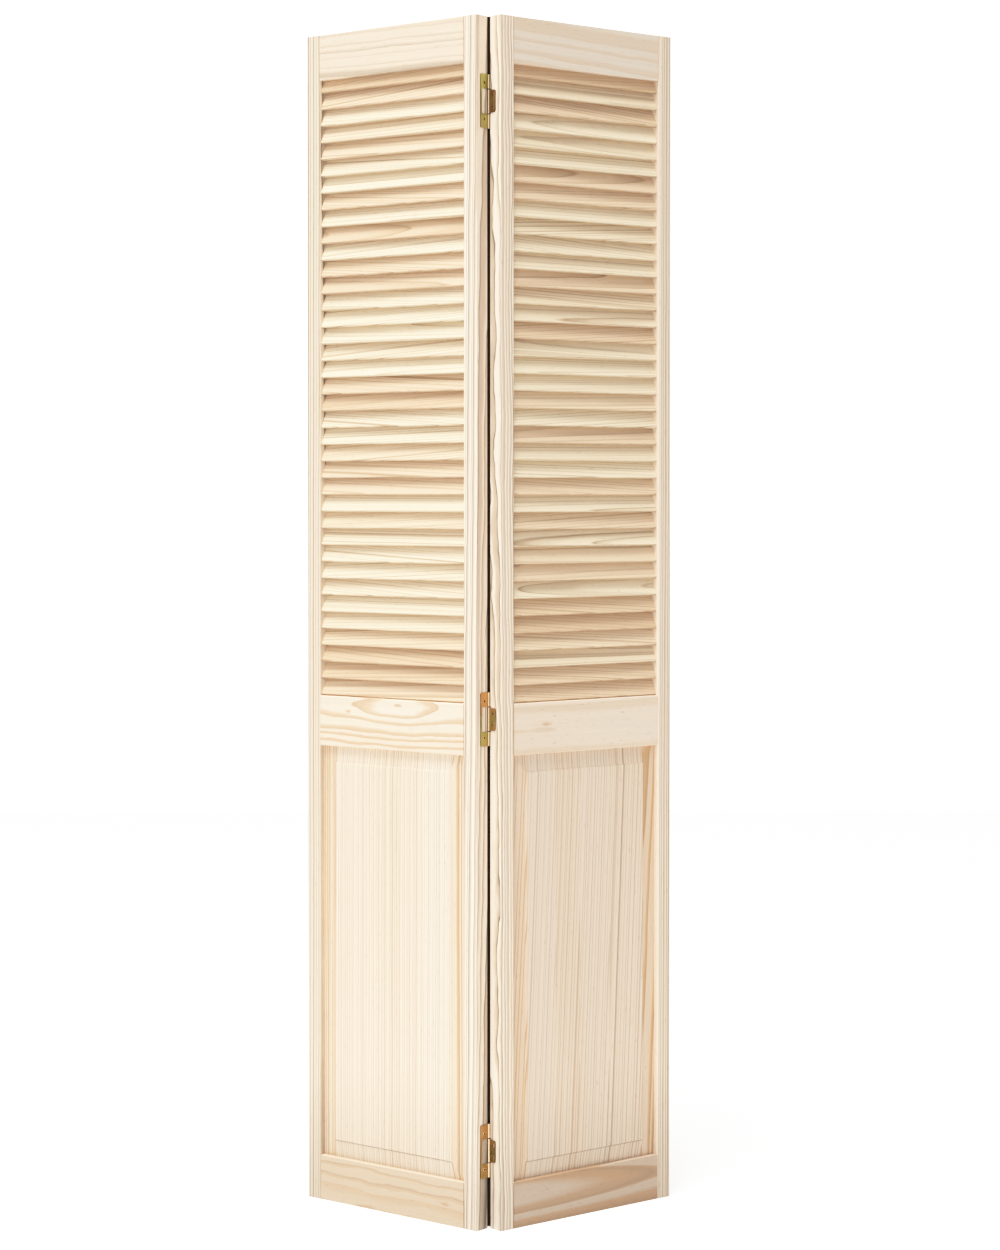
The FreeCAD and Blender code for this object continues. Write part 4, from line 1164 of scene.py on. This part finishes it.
# %% [markdown]
# ## Floor and light
#
# The door stands in a white studio. Three lights make it up, and none of them throws a hard
# shadow. The room is the world itself: dim walls with a wide arch of light that runs from the floor
# in front to overhead, turned a little to the left so that the left leaf is the brighter one. A
# large soft box hangs almost overhead and draws the long shading down each slat. The floor is a
# sheet of opal acrylic, lit from within just enough to be as white as the room.
#
# The camera always sees the room as plain white. A studio is lit for the subject and its
# background apart, and asking whether a ray comes straight from the camera does the same here.
# One narrow dark card stands right behind the pins as painted shade, so that the gap between the
# leaves reads as a black line. Floor and card are stage: they aren't part of the door.

# %% Floor and card
FLOOR_HALF = 6.0
FLOOR_GLOW = 0.61
CARD_HALF_WIDTH = 2.6 * MM
CARD_BEHIND_PINS = 3.4 * MM
CARD_FOOT = 2 * MM
CARD_ABOVE_DOOR = 0.5 * MM
MATT_ROUGHNESS = 0.9
MATT_SPECULAR = 0.2


def make_matt(name, colour, glow=0):
    """A matt surface, with an even light from within where it is asked for."""
    material, tree = new_material(name)
    surface = add(tree, "ShaderNodeBsdfPrincipled",
                  {"Base Color": linear(colour), "Roughness": MATT_ROUGHNESS,
                   "Specular IOR Level": MATT_SPECULAR,
                   "Emission Color": linear(colour), "Emission Strength": glow})
    add(tree, "ShaderNodeOutputMaterial", {"Surface": surface})
    return material


def make_card(name, corners, material):
    """One flat four-sided card that isn't part of the door."""
    data = bpy.data.meshes.new(name)
    data.from_pydata(corners, [], [(0, 1, 2, 3)])
    data.materials.append(material)
    card = bpy.data.objects.new(name, data)
    bpy.context.scene.collection.objects.link(card)


reach = FLOOR_HALF
make_card("floor", [(-reach, -reach, 0), (reach, -reach, 0), (reach, reach, 0), (-reach, reach, 0)],
          make_matt("opal_acrylic_floor", "#F4F4F2", glow=FLOOR_GLOW))
# The dark card is painted shade: it darkens the gap between the leaves.
depth = PINS.y + CARD_BEHIND_PINS
low, high = CARD_FOOT, cad_box[1].z + CARD_ABOVE_DOOR
make_card("gap_card", [(-CARD_HALF_WIDTH, depth, low), (CARD_HALF_WIDTH, depth, low),
                       (CARD_HALF_WIDTH, depth, high), (-CARD_HALF_WIDTH, depth, high)],
          make_matt("black_card", "#1C120A"))
print(f"the dark card stands {CARD_BEHIND_PINS / MM:.1f} mm behind the pins")

# %% The white room
ARCH_AZIMUTH = math.radians(25)
ARCH_LIGHT = 1.46
ARCH_FOCUS = 4
ARCH_TINT = "#FDFDFF"
# The arch is out at the first value of how far a direction looks forward, and full at the second.
ARCH_FADE = (-0.6, 0.0)
WALL_LIGHT = 0.25
WALL_TINT = "#FFFCF8"
BACKDROP_LIGHT = 1.8
BACKDROP_EDGE = (0.72, 0.90)


def make_room():
    """A world that is a pale room with a wide arch of soft light and a lit backdrop."""
    world = bpy.data.worlds.new("white_room")
    world.use_nodes = True
    tree = world.node_tree
    tree.nodes.clear()
    looking = add(tree, "ShaderNodeTexCoord").outputs["Generated"]
    turn = Matrix.Rotation(-ARCH_AZIMUTH, 3, "Z")
    towards = {}
    for name, direction in (("side", turn @ Vector((1, 0, 0))),
                            ("front", turn @ Vector((0, -1, 0))), ("back", (0, 1, 0))):
        towards[name] = add(tree, "ShaderNodeVectorMath", {0: looking, 1: direction},
                            operation="DOT_PRODUCT").outputs["Value"]

    # The arch runs from the floor in front, overhead and fades behind: bright where a ray of
    # light has little sideways travel.
    squared = add(tree, "ShaderNodeMath", {0: towards["side"], 1: towards["side"]},
                  operation="MULTIPLY")
    central = add(tree, "ShaderNodeMath", {0: 1, 1: squared}, operation="SUBTRACT")
    narrowed = add(tree, "ShaderNodeMath", {0: central, 1: ARCH_FOCUS}, operation="POWER")
    front = add(tree, "ShaderNodeMapRange",
                {"Value": towards["front"], "From Min": ARCH_FADE[0], "From Max": ARCH_FADE[1]})
    arch = add(tree, "ShaderNodeMath", {0: narrowed, 1: front}, operation="MULTIPLY")
    walls = [channel * WALL_LIGHT for channel in linear(WALL_TINT)[:3]]
    full = [channel * ARCH_LIGHT for channel in linear(ARCH_TINT)[:3]]
    light = add(tree, "ShaderNodeVectorMath", {0: arch, 1: full, 2: walls},
                operation="MULTIPLY_ADD")
    backdrop = add(tree, "ShaderNodeMapRange",
                   {"Value": towards["back"], "From Min": BACKDROP_EDGE[0],
                    "From Max": BACKDROP_EDGE[1], "To Max": BACKDROP_LIGHT})
    brighter = add(tree, "ShaderNodeVectorMath", {0: light, 1: backdrop}, operation="MAXIMUM")
    seen = add(tree, "ShaderNodeLightPath").outputs["Is Camera Ray"]
    shown = add(tree, "ShaderNodeMix", {0: seen, 6: brighter, 7: [BACKDROP_LIGHT] * 3 + [1]},
                data_type="RGBA").outputs[2]
    background = add(tree, "ShaderNodeBackground", {"Color": shown})
    add(tree, "ShaderNodeOutputWorld", {"Surface": background})
    return world


bpy.context.scene.world = make_room()
print(f"the arch of light is {ARCH_LIGHT / WALL_LIGHT:.1f} times as bright as the walls")

# %% The soft box
SOFT_BOX_SIZE = 4.0
SOFT_BOX_PLACE = Vector((-1.5, -2.8, 9.3))
SOFT_BOX_AIM = Vector((0, 0, 1.2))
SOFT_BOX_WATTS = 780

lamp = bpy.data.lights.new("soft_box", "AREA")
lamp.shape, lamp.size, lamp.energy = "SQUARE", SOFT_BOX_SIZE, SOFT_BOX_WATTS
soft_box = bpy.data.objects.new("soft_box", lamp)
soft_box.location = SOFT_BOX_PLACE
soft_box.rotation_euler = (SOFT_BOX_AIM - SOFT_BOX_PLACE).to_track_quat("-Z", "Y").to_euler()
soft_box.visible_camera = False
bpy.context.scene.collection.objects.link(soft_box)
print(f"a soft box {SOFT_BOX_SIZE:.0f} m wide of {SOFT_BOX_WATTS} watts")

# %% [markdown]
# ## Camera
#
# The camera stands about four and a half metres from the door with a moderately long lens, at
# chest height, tipped down by one degree. A small shift of the lens puts the door in the frame
# without tipping the camera further, which would make the uprights lean.

# %% The camera
CAMERA_PLACE = Vector((0.0105, -4.6692, 1.2172))
CAMERA_PITCH = math.radians(90 - 1.177)
CAMERA_YAW = math.radians(-0.101)
SENSOR_HEIGHT = 36.0
FRAME_HEIGHT = 1250
FOCAL_PIXELS = 2760.2
SHIFT_PIXELS = -72.5

lens = bpy.data.cameras.new("camera")
lens.sensor_fit = "VERTICAL"
lens.sensor_height = SENSOR_HEIGHT
lens.lens = FOCAL_PIXELS * SENSOR_HEIGHT / FRAME_HEIGHT
lens.shift_y = SHIFT_PIXELS / FRAME_HEIGHT
camera = bpy.data.objects.new("camera", lens)
camera.location = CAMERA_PLACE
camera.rotation_euler = (CAMERA_PITCH, 0, CAMERA_YAW)
bpy.context.scene.collection.objects.link(camera)
bpy.context.scene.camera = camera
print(f"a {lens.lens:.1f} mm lens on a {SENSOR_HEIGHT:.0f} mm sensor")

# %% [markdown]
# ## Developing the picture
#
# A camera doesn't record light in plain proportion. Its curve follows the scene in the shadows and
# middle tones, so shaded wood keeps its full warm colour, and then bends over gently, so the
# brightest planes go pale instead of burning out. Such a curve is set here, on top of Blender's
# plain Standard view.

# %% The camera's curve
# Light in the scene, and what the picture shows for it.
CAMERA_CURVE = ((0.20, 0.20), (0.45, 0.46), (0.70, 0.68), (1.00, 0.86), (1.25, 0.95))
WHITE_FROM = 1.7

develop = bpy.context.scene.view_settings
develop.view_transform = "Standard"
develop.use_curve_mapping = True
develop.curve_mapping.clip_max_x = WHITE_FROM
response = develop.curve_mapping.curves[3]
response.points[1].location = (WHITE_FROM, 1)
for light, shown in CAMERA_CURVE:
    response.points.new(light, shown)
develop.curve_mapping.update()
print(f"the camera's curve has {len(response.points)} points and is white from {WHITE_FROM}")
